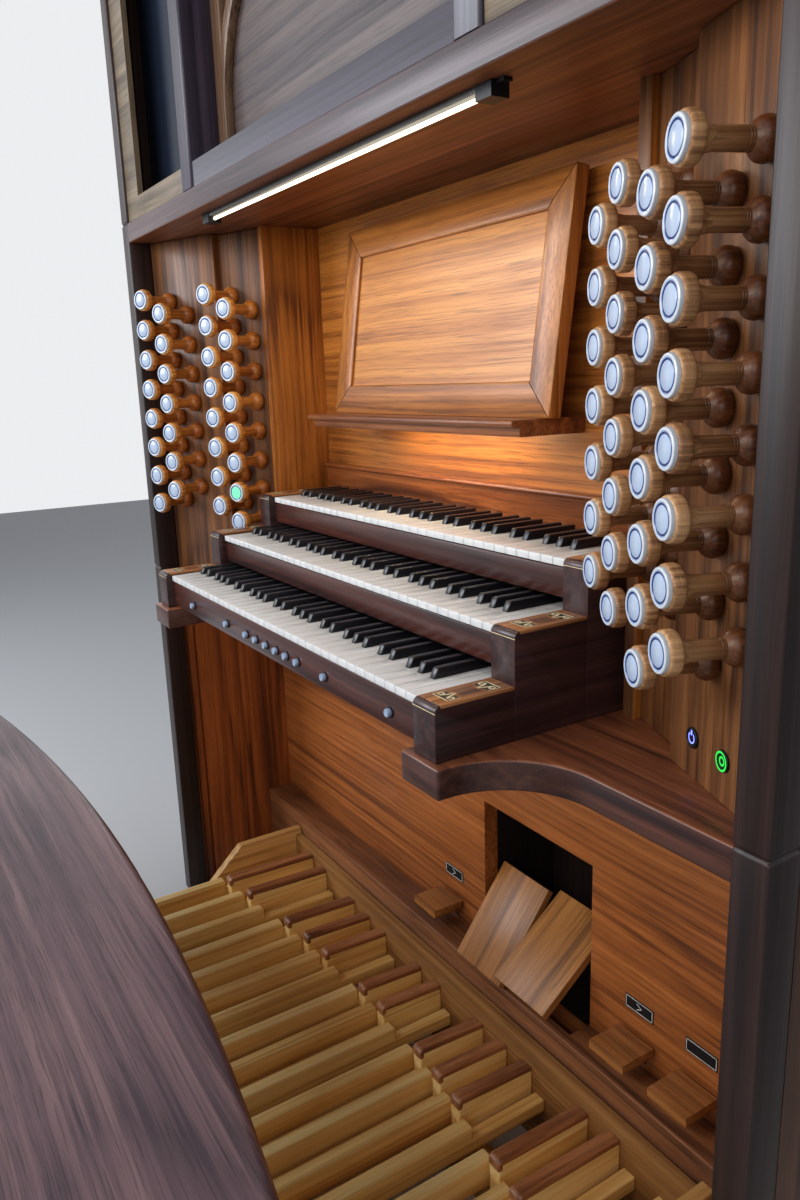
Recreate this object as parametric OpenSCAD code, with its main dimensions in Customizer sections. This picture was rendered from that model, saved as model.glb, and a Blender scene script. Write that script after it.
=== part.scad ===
// Pipe organ console: the keydesk in its section of the organ case, with
// three manuals, draw-knobs on angled jambs, a pedalboard, two swell pedals,
// three toe pedals and a loose bench. Millimetres, +Z up, +Y into the organ.
// X = 0 is the middle of the keyboards, Y = 0 the fronts of the lowest keys
// and Z = 0 the floor.

/* [Case] */
// Width of the case over its front posts
case_w = 1640; // [1600:10:1760]
// Height of the case above the floor
case_h = 2100; // [2000:10:2300]
// How far the front posts stand behind the fronts of the lowest keys
case_front = 87; // [60:1:110]
// How far the back of the case stands behind the fronts of the lowest keys
case_back = 600; // [520:10:700]
// Width of a front post
post_w = 38; // [30:1:50]
// Depth of a front post
post_d = 45; // [38:1:52]
// Width of the shadow groove at each joint of a post
post_groove = 4; // [2:0.5:6]
// Thickness of the framed side and back boards
board_t = 25; // [20:1:32]
// Depth of the fields sunk in the side and back boards
field_sink = 6; // [3:0.5:10]
// Width of the frame left round each field
field_frame = 90; // [60:5:120]
// Width and depth of the two grooves behind each front post
wall_groove = 6; // [3:0.5:9]
// Distance between those two grooves
wall_groove_gap = 12; // [8:1:20]
// Thickness of the roof board
roof_t = 18; // [12:1:25]

/* [Keyboards] */
// Height of the lowest manual's natural keys above the floor
key_top = 880; // [840:1:900]
// Pitch of the natural keys
key_pitch = 23.5; // [23:0.1:24]
// Natural keys on each manual
key_count = 36; // [29:1:36]
// Number of manuals
manual_count = 3; // [1:1:3]
// Gap between two natural keys
key_gap = 0.8; // [0.4:0.1:1.5]
// Length of a key from its front to its hidden end
key_len = 140; // [130:1:150]
// Thickness of a natural key
key_t = 20; // [16:1:24]
// Height of the covering that wraps down the front of a natural key
key_lip = 10; // [6:0.5:14]
// Thickness of the boards that the keys lie on
key_bed_t = 12; // [8:1:16]
// Rise from one manual to the next
manual_rise = 64.1; // [58:0.1:70]
// Setback from one manual to the next
manual_back = 110.5; // [105:0.5:118]
// Distance from the key fronts to the sharp keys
sharp_from = 50.5; // [48:0.5:53]
// Width of a sharp key
sharp_w = 10.5; // [9:0.5:12]
// Height of a sharp key above the naturals
sharp_h = 12; // [9:0.5:14]
// Clearance of a sharp key in the notch between its naturals
sharp_gap = 1.2; // [0.6:0.1:1.6]
// Slope of the front of a sharp key, in degrees from the vertical
sharp_lean = 24; // [0:1:40]

/* [Key cheeks and rails] */
// Gap between the outer keys and the key cheeks
cheek_gap = 6; // [3:0.5:8]
// Width of a key cheek
cheek_w = 44; // [38:1:50]
// Radius that rounds the top front edge of a cheek
cheek_round = 8; // [5:0.5:12]
// How far a cheek stands out in front of the keys
cheek_out = 10; // [6:0.5:12]
// Thickness of the inlaid board on each cheek
cheek_top_t = 4; // [3:0.5:5]
// Joint between two cheeks, one behind the other
cheek_joint = 0.4; // [0.2:0.1:1]
// Distance from the key fronts back to the face of the rail below them
slip_back = 3; // [1:0.5:10]
// Thickness of the key slip and key rails
slip_t = 16; // [12:1:20]
// Height of the key slip
slip_h = 46; // [36:1:52]
// Shadow gap between the natural keys and the rail below them
slip_gap = 2; // [1:0.5:4]
// Radius of a thumb piston
piston_r = 5.5; // [4:0.5:8]
// Radius of the ring round a thumb piston
piston_rim_r = 7; // [6:0.5:10]
// How far a thumb piston stands out of the key slip
piston_out = 7; // [4:0.5:10]

/* [Key table] */
// Distance from the tops of the lowest natural keys down to the key table
table_drop = 62.5; // [58:0.5:75]
// Thickness of the key table
table_t = 37; // [30:1:45]
// Distance from the key fronts to the straight front edge beside the arms
table_front = 102; // [98:1:118]
// How far the arms reach in front of the keys
arm_out = 18; // [12:1:30]
// How far an arm shows inside its key cheek
arm_inner = 16; // [10:1:30]
// How far an arm shows outside its key cheek
arm_outer = 14; // [8:1:20]
// Radius of the hollow between an arm and the straight front edge
table_hollow_r = 107; // [90:1:110]
// Distance from the key fronts to the edge between the arms
table_mid = 95; // [70:1:97]

/* [Stop jambs] */
// Angle that the stop jambs turn towards the player
jamb_angle = 22.5; // [15:0.5:27]
// Where the raised outer panel ends, as a share of the way to the last column
jamb_outer = 0.697; // [0.66:0.001:0.72]
// Step from the outer panel back to the inner one
jamb_step = 20; // [8:1:28]
// Thickness of a jamb board behind its inner face
jamb_t = 18; // [12:1:25]
// Height of the top row of draw-knobs above the floor
knob_top = 1403; // [1390:1:1410]
// Distance between the rows of one column
knob_row = 59.9; // [56:0.1:60]
// Draw-knobs in a full column
knob_rows = 8; // [4:1:8]
// Gap between the last column of draw-knobs and the key cheeks
knob_clear = 17; // [12:1:22]
// Distance between the columns of a pair, as a share of the way to the last one
knob_pair = 0.194; // [0.185:0.001:0.2]
// Place of the first column, as a share of the way from the post to the last one
knob_first = 0.193; // [0.18:0.001:0.2]
// How far the face of a draw-knob stands off its jamb
knob_out = 84; // [70:1:95]
// Radius of a draw-knob's head
knob_r = 21.5; // [18:0.5:24]
// Radius of a draw-knob's shank
shank_r = 10; // [7:0.5:12]
// Radius of the collar where a shank meets the jamb
collar_r = 18.3; // [15:0.1:20]
// Radius that rounds the collar
collar_round = 12; // [9:0.5:14]
// Length of a draw-knob's head behind its face plate
head_len = 14; // [11:0.5:18]
// Radius that rounds the edges of a draw-knob's head
head_round = 3.5; // [1:0.5:5]
// Length of the neck behind a draw-knob's head
neck_len = 13; // [8:1:18]
// Radius of a draw-knob's face plate
face_r = 18.8; // [15:0.1:20]
// Thickness of a draw-knob's face plate
face_t = 4; // [2:0.5:5]
// Radius of a push button on the right jamb
button_r = 11; // [8:0.5:14]
// Height of the push buttons above the floor
button_z = 862.5; // [845:0.5:880]

/* [Niche and music desk] */
// Width of the niche behind the keyboards
niche_w = 976; // [962:2:1000]
// Distance from the key fronts to the niche's back panel
niche_y = 382; // [378:1:400]
// Thickness of the niche's back and side boards
niche_t = 18; // [12:1:22]
// How far the side boards stand in front of the recessed jamb panels
niche_proud = 18; // [10:1:22]
// Height of the nameboard above the highest manual
name_h = 52; // [40:1:70]
// Thickness of the nameboard
name_t = 14; // [10:1:20]
// Height of the soffit above the floor
soffit_z = 1525; // [1500:1:1540]
// Thickness of the canopy
canopy_t = 38; // [30:1:45]
// Height of the top of the music ledge above the floor
ledge_z = 1170; // [1150:1:1190]
// Thickness of the music ledge
ledge_t = 10; // [8:0.5:16]
// How far the ledge reaches out from the back panel
ledge_d = 132; // [110:1:140]
// How far the ledge sits to the left of the desk's middle
ledge_left = 16; // [0:1:20]
// Height of the cleat below the ledge
cleat_h = 13; // [8:1:20]
// Width of the music desk
desk_w = 600; // [500:5:700]
// Height of the music desk along its slope
desk_h = 324; // [260:1:330]
// Lean of the music desk from the vertical
desk_lean = 8.2; // [5:0.1:9]
// Distance from the front of the ledge to the foot of the desk
desk_inset = 50; // [45:1:55]
// Width of the desk's mitred frame
desk_frame_w = 50; // [35:1:60]
// Thickness of the desk's frame
desk_t = 22; // [16:1:26]
// How far the desk's panel lies behind the frame's face
desk_sink = 6; // [2:0.5:10]
// Thickness of the desk's panel
desk_panel_t = 8; // [5:0.5:12]

/* [Lamp] */
// Length of the lamp's tube
lamp_len = 796; // [600:1:900]
// Radius of the lamp's tube
lamp_r = 4; // [3:0.5:6]
// Width of the lamp's housing
lamp_w = 22; // [16:1:34]
// Thickness of the lamp's housing
lamp_t = 7; // [5:0.5:12]
// Distance from the front of the canopy to the middle of the lamp
lamp_in = 40; // [30:1:60]
// Length of the holder at each end of the tube
holder_len = 20; // [15:1:40]

/* [Upper stage] */
// Height of the rails of the upper stage
rail_h = 42; // [34:1:50]
// How far the rails lie behind the front of the case
rail_back = 5; // [2:1:10]
// Width of an inner post
inner_post_w = 48; // [40:1:60]
// Depth of an inner post
inner_post_d = 74; // [66:1:90]
// Radius that rounds the front edges of an inner post
inner_round = 5; // [2:0.5:10]
// Distance between the inner posts
bay_w = 780; // [700:5:820]
// Width of the stile of a side bay's pale frame, beside the front post
bay_stile = 75; // [50:1:90]
// Thickness of a side bay's pale frame
bay_frame_t = 12; // [6:1:20]
// Thickness of the panels in the bays
bay_panel_t = 8; // [5:1:12]
// Width of the arched rib
rib_w = 27; // [20:1:36]
// Thickness of the ribs
rib_t = 16; // [12:1:24]
// Width of the straight rib beside each inner post
rib_side_w = 37.4; // [37:0.1:45]
// How far the arch's foot starts behind the edge of the straight rib
arch_lap = 2; // [1:0.5:4]
// Foot of the arch, as a share of the height between the rails
arch_foot = 0.155; // [0.1:0.005:0.2]
// Rise of the arch, as a share of the height between the rails
arch_rise = 0.607; // [0.5:0.001:0.65]
// Radius of the arch's haunches, as a share of its rise
arch_haunch = 0.879; // [0.8:0.001:0.92]

/* [Lower front] */
// Distance from the key fronts to the knee panel
knee_y = 375; // [365:1:390]
// Thickness of the knee panel
knee_t = 18; // [14:1:22]
// Height of the toe board above the floor
toe_z = 215; // [200:1:230]
// Thickness of the toe board and its apron
toe_t = 18; // [14:1:22]
// Distance from the key fronts to the front of the toe board
toe_y = 315; // [310:1:320]
// Left side of the swell opening from the middle of the organ
swell_x = 50; // [40:1:60]
// Width of the swell opening
swell_w = 272; // [266:1:290]
// Top of the swell opening above the floor
swell_top = 495; // [480:1:520]
// Depth of the frame behind the swell opening
swell_collar = 12; // [8:1:14]
// Depth of the box behind the swell opening
swell_box_d = 150; // [120:5:165]
// Thickness of the box's walls
swell_box_t = 15; // [10:1:20]
// How far the box reaches below the toe board's top
swell_sump = 40; // [20:1:60]

/* [Swell pedals] */
// Width of a swell pedal
pedal_w = 121; // [100:1:122]
// Length of a swell pedal
pedal_len = 181; // [160:1:190]
// Thickness of a swell pedal's tread
pedal_t = 14; // [10:1:14]
// Distance from the heel of a tread to its hub, along the tread
hub_along = 136; // [120:1:140]
// Depth of the hub's axis below the face of the tread
hub_deep = 44; // [40:1:48]
// Height of the swell shaft above the floor
shaft_z = 308; // [300:1:315]
// Distance from the key fronts to the swell shaft
shaft_y = 419.5; // [414:0.5:425]
// Radius of the swell shaft
shaft_rad = 8; // [6:0.5:10]
// Running clearance between a shaft and its hub
run_gap = 0.1; // [0.05:0.05:0.3]
// Wall of a swell pedal's hub
hub_wall = 8; // [5:0.5:10]
// Width of the block that joins a tread to its hub
hub_w = 60; // [40:1:80]
// How far that block reaches along the tread towards the heel
hub_heel = 60; // [40:1:80]
// How far that block reaches along the tread towards the toe
hub_toe = 38; // [26:1:42]
// Slope of the left swell pedal at rest
swell_rest_left = 52.6; // [40:0.1:52.6]
// Slope of the right swell pedal at rest
swell_rest_right = 36.4; // [32.6:0.1:50]

/* [Toe pedals] */
// Distance from the swell opening to the middle of the toe pedal beside it
toe_beside = 103; // [95:1:110]
// Place of the last toe pedal, as a share of the way from that one to the post
toe_share = 0.32; // [0.29:0.001:0.35]
// Distance from the swell opening to the toe pedal on its left
toe_before = 100; // [90:1:120]
// Width of a toe pedal
toe_w = 68; // [50:1:76]
// Depth of a toe pedal from front to back
toe_d = 63; // [50:1:64]
// Thickness of a toe pedal
toe_plank_t = 14; // [10:1:18]
// Height of a toe pedal's top above the toe board
toe_up = 50; // [46:1:60]
// Free gap between a toe pedal and the knee panel
toe_gap = 5; // [5:0.5:8]
// Room below a toe pedal's arm for its dip
toe_dip = 6; // [5:0.5:7]
// Width of a toe pedal's arm
toe_arm_w = 24; // [16:1:30]
// Thickness of a toe pedal's arm
toe_arm_t = 18; // [14:1:20]
// Distance from the back of the knee panel to a toe pedal's pin
toe_pin_back = 19; // [17:1:24]
// Radius of a toe pedal's pin
toe_pin_r = 4; // [3:0.5:5]
// Wall of a toe pedal's hub
toe_hub_wall = 6; // [4:0.5:6]
// Thickness of the ears that hold a pin
ear_t = 6; // [4:0.5:8]
// Side play of a toe pedal's hub between its ears
ear_play = 1; // [0.5:0.1:2]
// Width of a label plate
plate_w = 55; // [40:1:65]
// Height of a label plate
plate_h = 22; // [15:1:30]
// Height of the middle of the label plates above the floor
plate_z = 310; // [300:1:330]

/* [Pedalboard] */
// Natural pedals
pedal_count = 18; // [12:1:18]
// Pitch of the natural pedals
pedal_pitch = 65; // [62:0.5:66]
// Width of a natural pedal
nat_w = 22; // [18:0.5:26]
// Height of the middle natural pedal above the floor
nat_z = 112; // [100:1:125]
// Depth of a natural pedal's wood
nat_depth = 42; // [32:1:50]
// Drop from the playing surface to the tail of a natural pedal
nat_drop = 25; // [15:1:30]
// Distance from the key fronts to the end of the middle natural's surface
nat_end = 179; // [160:1:190]
// Distance in front of the key fronts to the pedals' heels
heel_y = 350; // [320:5:360]
// Rise of the sharp pedals above the naturals
sharp_rise = 23; // [18:1:30]
// Width of a sharp pedal
sharp_ped_w = 24; // [20:1:28]
// Thickness of the cap on a sharp pedal
cap_t = 9; // [6:0.5:12]
// How far a cap wraps down the front of its pedal
cap_nose = 17; // [12:1:24]
// Half the inner width of the pedal frame
frame_in = 598; // [592:1:620]
// Thickness of the pedal frame's sides and rails
frame_t = 21; // [16:1:24]
// Height of the pedal frame's sides at the back
frame_h = 185; // [175:1:200]
// Height of the pedal frame's back rail
back_rail_h = 172; // [160:1:175]
// Thickness of the pedal frame's back rail
back_rail_t = 17; // [12:1:22]

/* [Bench] */
// Height of the bench's seat above the floor
seat_z = 606; // [560:1:640]
// Thickness of the seat
seat_t = 35; // [28:1:42]
// Length of the seat
seat_w = 1440; // [1380:10:1500]
// Distance in front of the key fronts to the middle of the seat's front edge
seat_front = 250; // [230:5:280]
// Distance in front of the key fronts to the back of the seat
seat_back = 600; // [560:10:640]
// Radius of the seat's bowed front edge
seat_bow = 4080; // [3000:20:6000]
// Radius that rounds the seat's front edge
seat_round = 12; // [6:1:16]
// Distance from the middle of the bench to the outside of an end board
bench_end = 680; // [660:5:690]
// Thickness of the bench's end boards
bench_end_t = 30; // [22:1:34]
// Height of the bench's stretcher
stretcher_h = 110; // [80:5:160]

/* [Hidden] */
$fn = 48;
eps = 1;
post_in = case_w / 2 - post_w;
post_back = case_front + post_d;
table_top = key_top - table_drop;
table_low = table_top - table_t;
key_body = slip_back + slip_t + 1;
back_in = case_back - board_t;
canopy_top = soffit_z + canopy_t;
keys_half = key_count * key_pitch / 2;
cheek_in = keys_half + cheek_gap;
cheek_end = cheek_in + cheek_w;
top_manual = manual_count - 1;
name_y = niche_y - name_t;
name_z = key_top + top_manual * manual_rise + 3;
arm_x0 = cheek_in - arm_inner;
arm_x1 = cheek_end + arm_outer;
knee_back = knee_y + knee_t;
box_y = knee_back + swell_collar;
swell_low = toe_z - swell_sump;
stage_top = case_h - roof_t;
rail_y = case_front + rail_back;
inner_back = case_front + inner_post_d;
bay_in = bay_w / 2 + inner_post_w;
stage_low = canopy_top + rail_h;
stage_room = stage_top - rail_h - stage_low;
toe_pin_y = knee_back + toe_pin_back;
toe_top = toe_z + toe_up;
toe_pin_z = toe_top - toe_plank_t - toe_arm_t / 2;
toe_hub_r = toe_pin_r + run_gap + toe_hub_wall;
toe_mid = swell_x + swell_w + toe_beside;
toe_places = [swell_x - toe_before, toe_mid, toe_mid + toe_share * (post_in - toe_mid)];
plate_shift = [5, 0, 0];
knob_last = (post_in - cheek_end - knob_clear - knob_r * cos(jamb_angle)
             + (jamb_step - knob_out) * sin(jamb_angle)) / cos(jamb_angle);
outer_w = jamb_outer * knob_last;
niche_front = post_back + (post_in - niche_w / 2) * tan(jamb_angle)
              + jamb_step / cos(jamb_angle) - niche_proud;
piston_places = [-318.7, -158.3, -75.4, -37.5, 0.6, 36.8, 71.5, 108.1, 191.2, 359.1];
sharp_after = [0, 1, 3, 4, 5];
sharp_shift = [-2.5, 2.5, 0, -3.5, 0, 3.5];
button_places = [0.2785, 0.5047];
rail_front_y = toe_y - 0.3 - back_rail_t;
sharp_ped_after = [0, 1, 3, 4, 5];

// Both sides of something drawn for the right side.
module both_sides() {
    children();
    mirror([1, 0, 0]) children();
}

// A box from its two corners.
module block(a, b) {
    translate(a) cube(b - a);
}

// A profile in the Y-Z plane drawn out along X from x0 to x1.
module along_x(x0, x1) {
    translate([x0, 0, 0]) rotate([90, 0, 90]) linear_extrude(x1 - x0) children();
}

// A frame's place on the right stop jamb: the origin lies where the outer
// panel meets the post, -X runs along the panel and +Y into the organ.
module on_jamb() {
    translate([post_in, post_back, 0]) rotate([0, 0, -jamb_angle]) children();
}

// A front post with shadow grooves where its lengths meet.
module post() {
    difference() {
        block([post_in, case_front, 0], [post_in + post_w, post_back, case_h]);
        for (z = [table_top + 10, canopy_top]) {
            translate([post_in - eps, case_front, z]) rotate([45, 0, 0])
                translate([0, -post_groove / 2, -post_groove / 2])
                    cube([post_w + 2 * eps, post_groove, post_groove]);
            translate([post_in + post_w, case_front - eps, z]) rotate([0, 45, 0])
                translate([-post_groove / 2, 0, -post_groove / 2])
                    cube([post_groove, post_d + 2 * eps, post_groove]);
        }
    }
}

module case_posts() {
    color("#2a1712") both_sides() post();
}

// Heights of the fields in the side and back boards.
field_z = [field_frame, table_top - field_frame / 2, canopy_top,
           stage_top - field_frame / 2];

// A framed side board with three sunk fields.
module side_board() {
    outer = case_w / 2;
    difference() {
        block([outer - board_t, post_back, 0], [outer, back_in, case_h]);
        for (i = [0 : 2])
            block([outer - field_sink, post_back + field_frame / 2,
                   field_z[i] + (i > 0 ? field_frame / 2 : 0)],
                  [outer + eps, back_in - field_frame,
                   field_z[i + 1] - (i < 2 ? field_frame / 2 : 0)]);
    }
}

module case_sides() {
    color("#2a1712") both_sides() side_board();
}

module case_back() {
    half = case_w / 2;
    color("#3a2118") difference() {
        block([-half, back_in, 0], [half, case_back, case_h]);
        for (side = [-1, 1], i = [0 : 2])
            translate([side * (half / 2 - field_frame / 8), 0, 0])
                block([-half / 2 + field_frame * 0.6, case_back - field_sink,
                       field_z[i] + (i > 0 ? field_frame / 2 : 0)],
                      [half / 2 - field_frame * 0.6, case_back + eps,
                       field_z[i + 1] - (i < 2 ? field_frame / 2 : 0)]);
    }
}

module roof_board() {
    color("#2a1712") {
        translate([0, 0, stage_top]) linear_extrude(roof_t) {
            translate([-post_in, case_front]) square([2 * post_in, back_in - case_front]);
            translate([board_t - case_w / 2, post_back])
                square([case_w - 2 * board_t, back_in - post_back]);
        }
    }
}

// Walls beside the knees, each with two grooves close behind the front post.
module lower_side_walls() {
    color("#6e3a1e") both_sides() difference() {
        block([post_in, post_back, 0], [case_w / 2 - board_t, knee_back, table_low]);
        for (y = [eps, eps + wall_groove + wall_groove_gap])
            block([post_in - eps, post_back + y, -eps],
                  [post_in + wall_groove, post_back + y + wall_groove, table_low + eps]);
    }
}

// The slot in the knee panel that one toe pedal's arm works in.
module toe_slot(x) {
    half = toe_arm_w / 2 + toe_gap;
    block([x - half, knee_y - eps, toe_pin_z - toe_arm_t / 2 - toe_gap - toe_dip],
          [x + half, knee_back + eps, toe_pin_z + toe_arm_t / 2 + toe_gap]);
}

module knee_panel() {
    color("#8a4a24") difference() {
        union() {
            block([-post_in, knee_y, 0], [post_in, knee_back, table_low]);
            block([swell_x - 20, knee_back, swell_low - 20],
                  [swell_x + swell_w + 20, box_y, swell_top + 20]);
        }
        block([swell_x, knee_y - eps, swell_low],
              [swell_x + swell_w, box_y + eps, swell_top]);
        for (x = toe_places) toe_slot(x);
    }
}

module toe_board() {
    color("#5a3020") difference() {
        along_x(-post_in, post_in) polygon([
            [toe_y, 0], [toe_y, toe_z], [knee_y, toe_z], [knee_y, toe_z - toe_t],
            [toe_y + toe_t, toe_z - toe_t], [toe_y + toe_t, 0]]);
        block([swell_x, toe_y + toe_t, toe_z - toe_t - eps],
              [swell_x + swell_w, knee_y + eps, toe_z + eps]);
    }
}

// The dark box that the swell pedals swing in, bored for their shaft.
module swell_box() {
    x0 = swell_x;
    x1 = swell_x + swell_w;
    t = swell_box_t;
    color("#1b1210") difference() {
        block([x0 - t, box_y, swell_low - t], [x1 + t, box_y + swell_box_d, swell_top + t]);
        block([x0, box_y - eps, swell_low], [x1, box_y + swell_box_d - t, swell_top]);
        translate([x0 - t - eps, shaft_y, shaft_z]) rotate([0, 90, 0])
            cylinder(r = shaft_rad, h = swell_w + 2 * t + 2 * eps);
    }
}

module swell_shaft() {
    color("silver") translate([swell_x - swell_box_t, shaft_y, shaft_z]) rotate([0, 90, 0])
        cylinder(r = shaft_rad, h = swell_w + 2 * swell_box_t);
}

// Two ears on a foot screwed to the back of the knee panel, with the pin.
module toe_bracket(x) {
    reach = toe_arm_w / 2 + ear_play;
    lift = toe_hub_r + 3;
    for (side = [-1, 1])
        translate([x + side * (reach + ear_t / 2) - ear_t / 2, 0, 0])
            along_x(0, ear_t) {
                translate([toe_pin_y, toe_pin_z]) circle(r = toe_hub_r);
                translate([knee_back, toe_pin_z - toe_hub_r])
                    square([toe_pin_back, 2 * toe_hub_r]);
                translate([knee_back, toe_pin_z - lift]) square([6, 2 * lift]);
            }
    translate([x - reach - ear_t, toe_pin_y, toe_pin_z]) rotate([0, 90, 0])
        cylinder(r = toe_pin_r, h = 2 * (reach + ear_t));
}

module toe_brackets() {
    color("#3c3a38") for (x = toe_places) toe_bracket(x);
}

module label_plates() {
    color("#141414") for (i = [0 : 2])
        translate([toe_places[i] + plate_shift[i], 0, 0])
            block([-plate_w / 2, knee_y - 1, plate_z - plate_h / 2],
                  [plate_w / 2, knee_y, plate_z + plate_h / 2]);
}

// The key table's plan: straight edges beside two arms, joined by hollows.
module table_plan() {
    hollow_x = arm_x1 + table_hollow_r;
    translate([-post_in, table_front]) square([2 * post_in, niche_y - table_front]);
    translate([-arm_x1, table_mid]) square([2 * arm_x1, table_front - table_mid + eps]);
    both_sides() {
        translate([arm_x0, -arm_out])
            square([arm_x1 - arm_x0, arm_out + table_front + eps]);
        difference() {
            translate([arm_x1 - eps, table_front - table_hollow_r])
                square([table_hollow_r + eps, table_hollow_r + eps]);
            translate([hollow_x, table_front - table_hollow_r])
                circle(r = table_hollow_r, $fn = 96);
        }
    }
}

module key_table() {
    color("#4a2519") translate([0, 0, table_low]) linear_extrude(table_t) table_plan();
}

// Front and back of the key cheek of one manual.
function cheek_y0(m) = m * manual_back - cheek_out;
function cheek_y1(m) = m < top_manual ? cheek_y0(m + 1) - cheek_joint : name_y;
function cheek_z(m) = key_top + m * manual_rise;

// One key cheek: a block with a quarter-round along its top front edge, which
// ends flush with the inlaid board behind it.
module cheek(m) {
    r = cheek_round;
    y0 = cheek_y0(m);
    line = cheek_z(m) + cheek_top_t - r;
    along_x(cheek_in, cheek_end) {
        translate([y0, table_top]) square([cheek_y1(m) - y0, line - table_top]);
        translate([y0 + r - eps, line - eps])
            square([cheek_y1(m) - y0 - r + eps, cheek_z(m) - line + eps]);
        intersection() {
            translate([y0 + r, line]) circle(r = r);
            translate([y0, line - eps]) square([r, r + eps]);
        }
    }
}

module key_cheeks() {
    color("#2e1815") both_sides() for (m = [0 : top_manual]) cheek(m);
}

module cheek_tops() {
    color("#9a6238") both_sides() for (m = [0 : top_manual])
        block([cheek_in, cheek_y0(m) + cheek_round, cheek_z(m)],
              [cheek_end, cheek_y1(m), cheek_z(m) + cheek_top_t]);
}

module key_slip() {
    top = key_top - key_t + key_lip - slip_gap;
    color("#3a2019") block([-cheek_in, slip_back, top - slip_h],
                           [cheek_in, slip_back + slip_t, top]);
}

module thumb_pistons() {
    z = key_top - key_t + key_lip - slip_gap - slip_h * 0.58;
    color("#c8ccd2") for (x = piston_places)
        translate([x, slip_back, z]) rotate([90, 0, 0]) {
            cylinder(r = piston_rim_r, h = 2);
            cylinder(r = piston_r, h = piston_out);
        }
}

// True where a sharp key stands after natural number i, counted from a C.
function has_sharp(i) = len([for (k = sharp_after) if (k == i % 7) 1]) > 0;
function sharp_x(i) =
    (i + 1 - key_count / 2) * key_pitch + sharp_shift[min(i % 7, 5)];

// The natural keys of one manual, notched for the sharps.
module naturals(m) {
    translate([0, m * manual_back, key_top + m * manual_rise]) difference() {
        for (i = [0 : key_count - 1])
            translate([(i - key_count / 2) * key_pitch + key_gap / 2, 0, 0])
                along_x(0, key_pitch - key_gap) polygon([
                    [0, 0], [0, -key_lip], [key_body, -key_lip], [key_body, -key_t],
                    [key_len, -key_t], [key_len, 0]]);
        for (i = [0 : key_count - 2]) if (has_sharp(i))
            block([sharp_x(i) - sharp_w / 2 - sharp_gap, sharp_from - sharp_gap, -key_t - eps],
                  [sharp_x(i) + sharp_w / 2 + sharp_gap, key_len + eps, eps]);
    }
}

module natural_keys() {
    color("#f2efe6") for (m = [0 : top_manual]) naturals(m);
}

module sharp_keys() {
    lean = sharp_h * tan(sharp_lean);
    color("#141416") for (m = [0 : top_manual])
        translate([0, m * manual_back, key_top + m * manual_rise])
            for (i = [0 : key_count - 2]) if (has_sharp(i))
                along_x(sharp_x(i) - sharp_w / 2, sharp_x(i) + sharp_w / 2) polygon([
                    [sharp_from, -key_t], [sharp_from, 1], [sharp_from + lean, sharp_h],
                    [key_len, sharp_h], [key_len, -key_t]]);
}

// Rails that close the gap below the keys of the upper manuals.
module key_rails() {
    color("#3a2019") for (m = [1 : 1 : top_manual])
        translate([0, m * manual_back, key_top + m * manual_rise]) block(
            [-cheek_in, slip_back, sharp_h + 2 - manual_rise],
            [cheek_in, slip_back + slip_t, key_lip - key_t - slip_gap]);
}

// Boards between the cheeks that carry the keys; the lowest reaches down to
// the key table.
module key_beds() {
    color("#5a3a26") for (m = [0 : top_manual])
        translate([0, m * manual_back, key_top + m * manual_rise - key_t]) block(
            [-cheek_in, slip_back + slip_t, m > 0 ? -key_bed_t : key_t - table_drop],
            [cheek_in, key_len, 0]);
}

// The nameboard with a rounded moulding along its top edge.
module nameboard() {
    color("#5a2f1c") along_x(-cheek_end, cheek_end) {
        translate([name_y, name_z]) square([name_t, name_h]);
        translate([name_y - 2, name_z + name_h - 8]) square([6, 8]);
        translate([name_y - 2, name_z + name_h - 4]) circle(r = 4);
    }
}

// Plan of a jamb between the niche's side board and the post.
module jamb_plan() {
    long = case_w;
    intersection() {
        on_jamb() {
            translate([-outer_w, 0]) square([outer_w * 2, jamb_step + eps]);
            translate([-long, jamb_step]) square([2 * long, jamb_t]);
        }
        translate([niche_w / 2 + niche_t, 0])
            square([post_in - niche_w / 2 - niche_t, case_back]);
    }
}

module stop_jambs() {
    color("#6b3d22") both_sides() translate([0, 0, table_top])
        linear_extrude(soffit_z - table_top) jamb_plan();
}

module niche_sides() {
    color("#8a4f2a") both_sides()
        block([niche_w / 2, niche_front, table_top],
              [niche_w / 2 + niche_t, niche_y, soffit_z]);
}

module niche_back() {
    color("#8a4f2a") block([-niche_w / 2 - niche_t, niche_y, table_low],
                           [niche_w / 2 + niche_t, niche_y + niche_t, soffit_z]);
}

module canopy() {
    color("#3b2218") block([-post_in, case_front, soffit_z],
                           [post_in, niche_y + niche_t, canopy_top]);
}

module music_ledge() {
    front = niche_y - ledge_d;
    color("#5a2f1c") {
        along_x(-desk_w / 2 - ledge_left, desk_w / 2 - ledge_left) {
            translate([front + ledge_t / 2, ledge_z - ledge_t])
                square([ledge_d - ledge_t / 2, ledge_t]);
            translate([front + ledge_t / 2, ledge_z - ledge_t / 2])
                circle(r = ledge_t / 2);
            translate([front + 14, ledge_z - ledge_t - cleat_h])
                square([ledge_d - 14, cleat_h + eps]);
        }
    }
}

// Turns the music desk from upright to its lean about its front foot.
module on_desk() {
    translate([0, niche_y - ledge_d + desk_inset, ledge_z])
        rotate([-desk_lean, 0, 0]) children();
}

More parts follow.
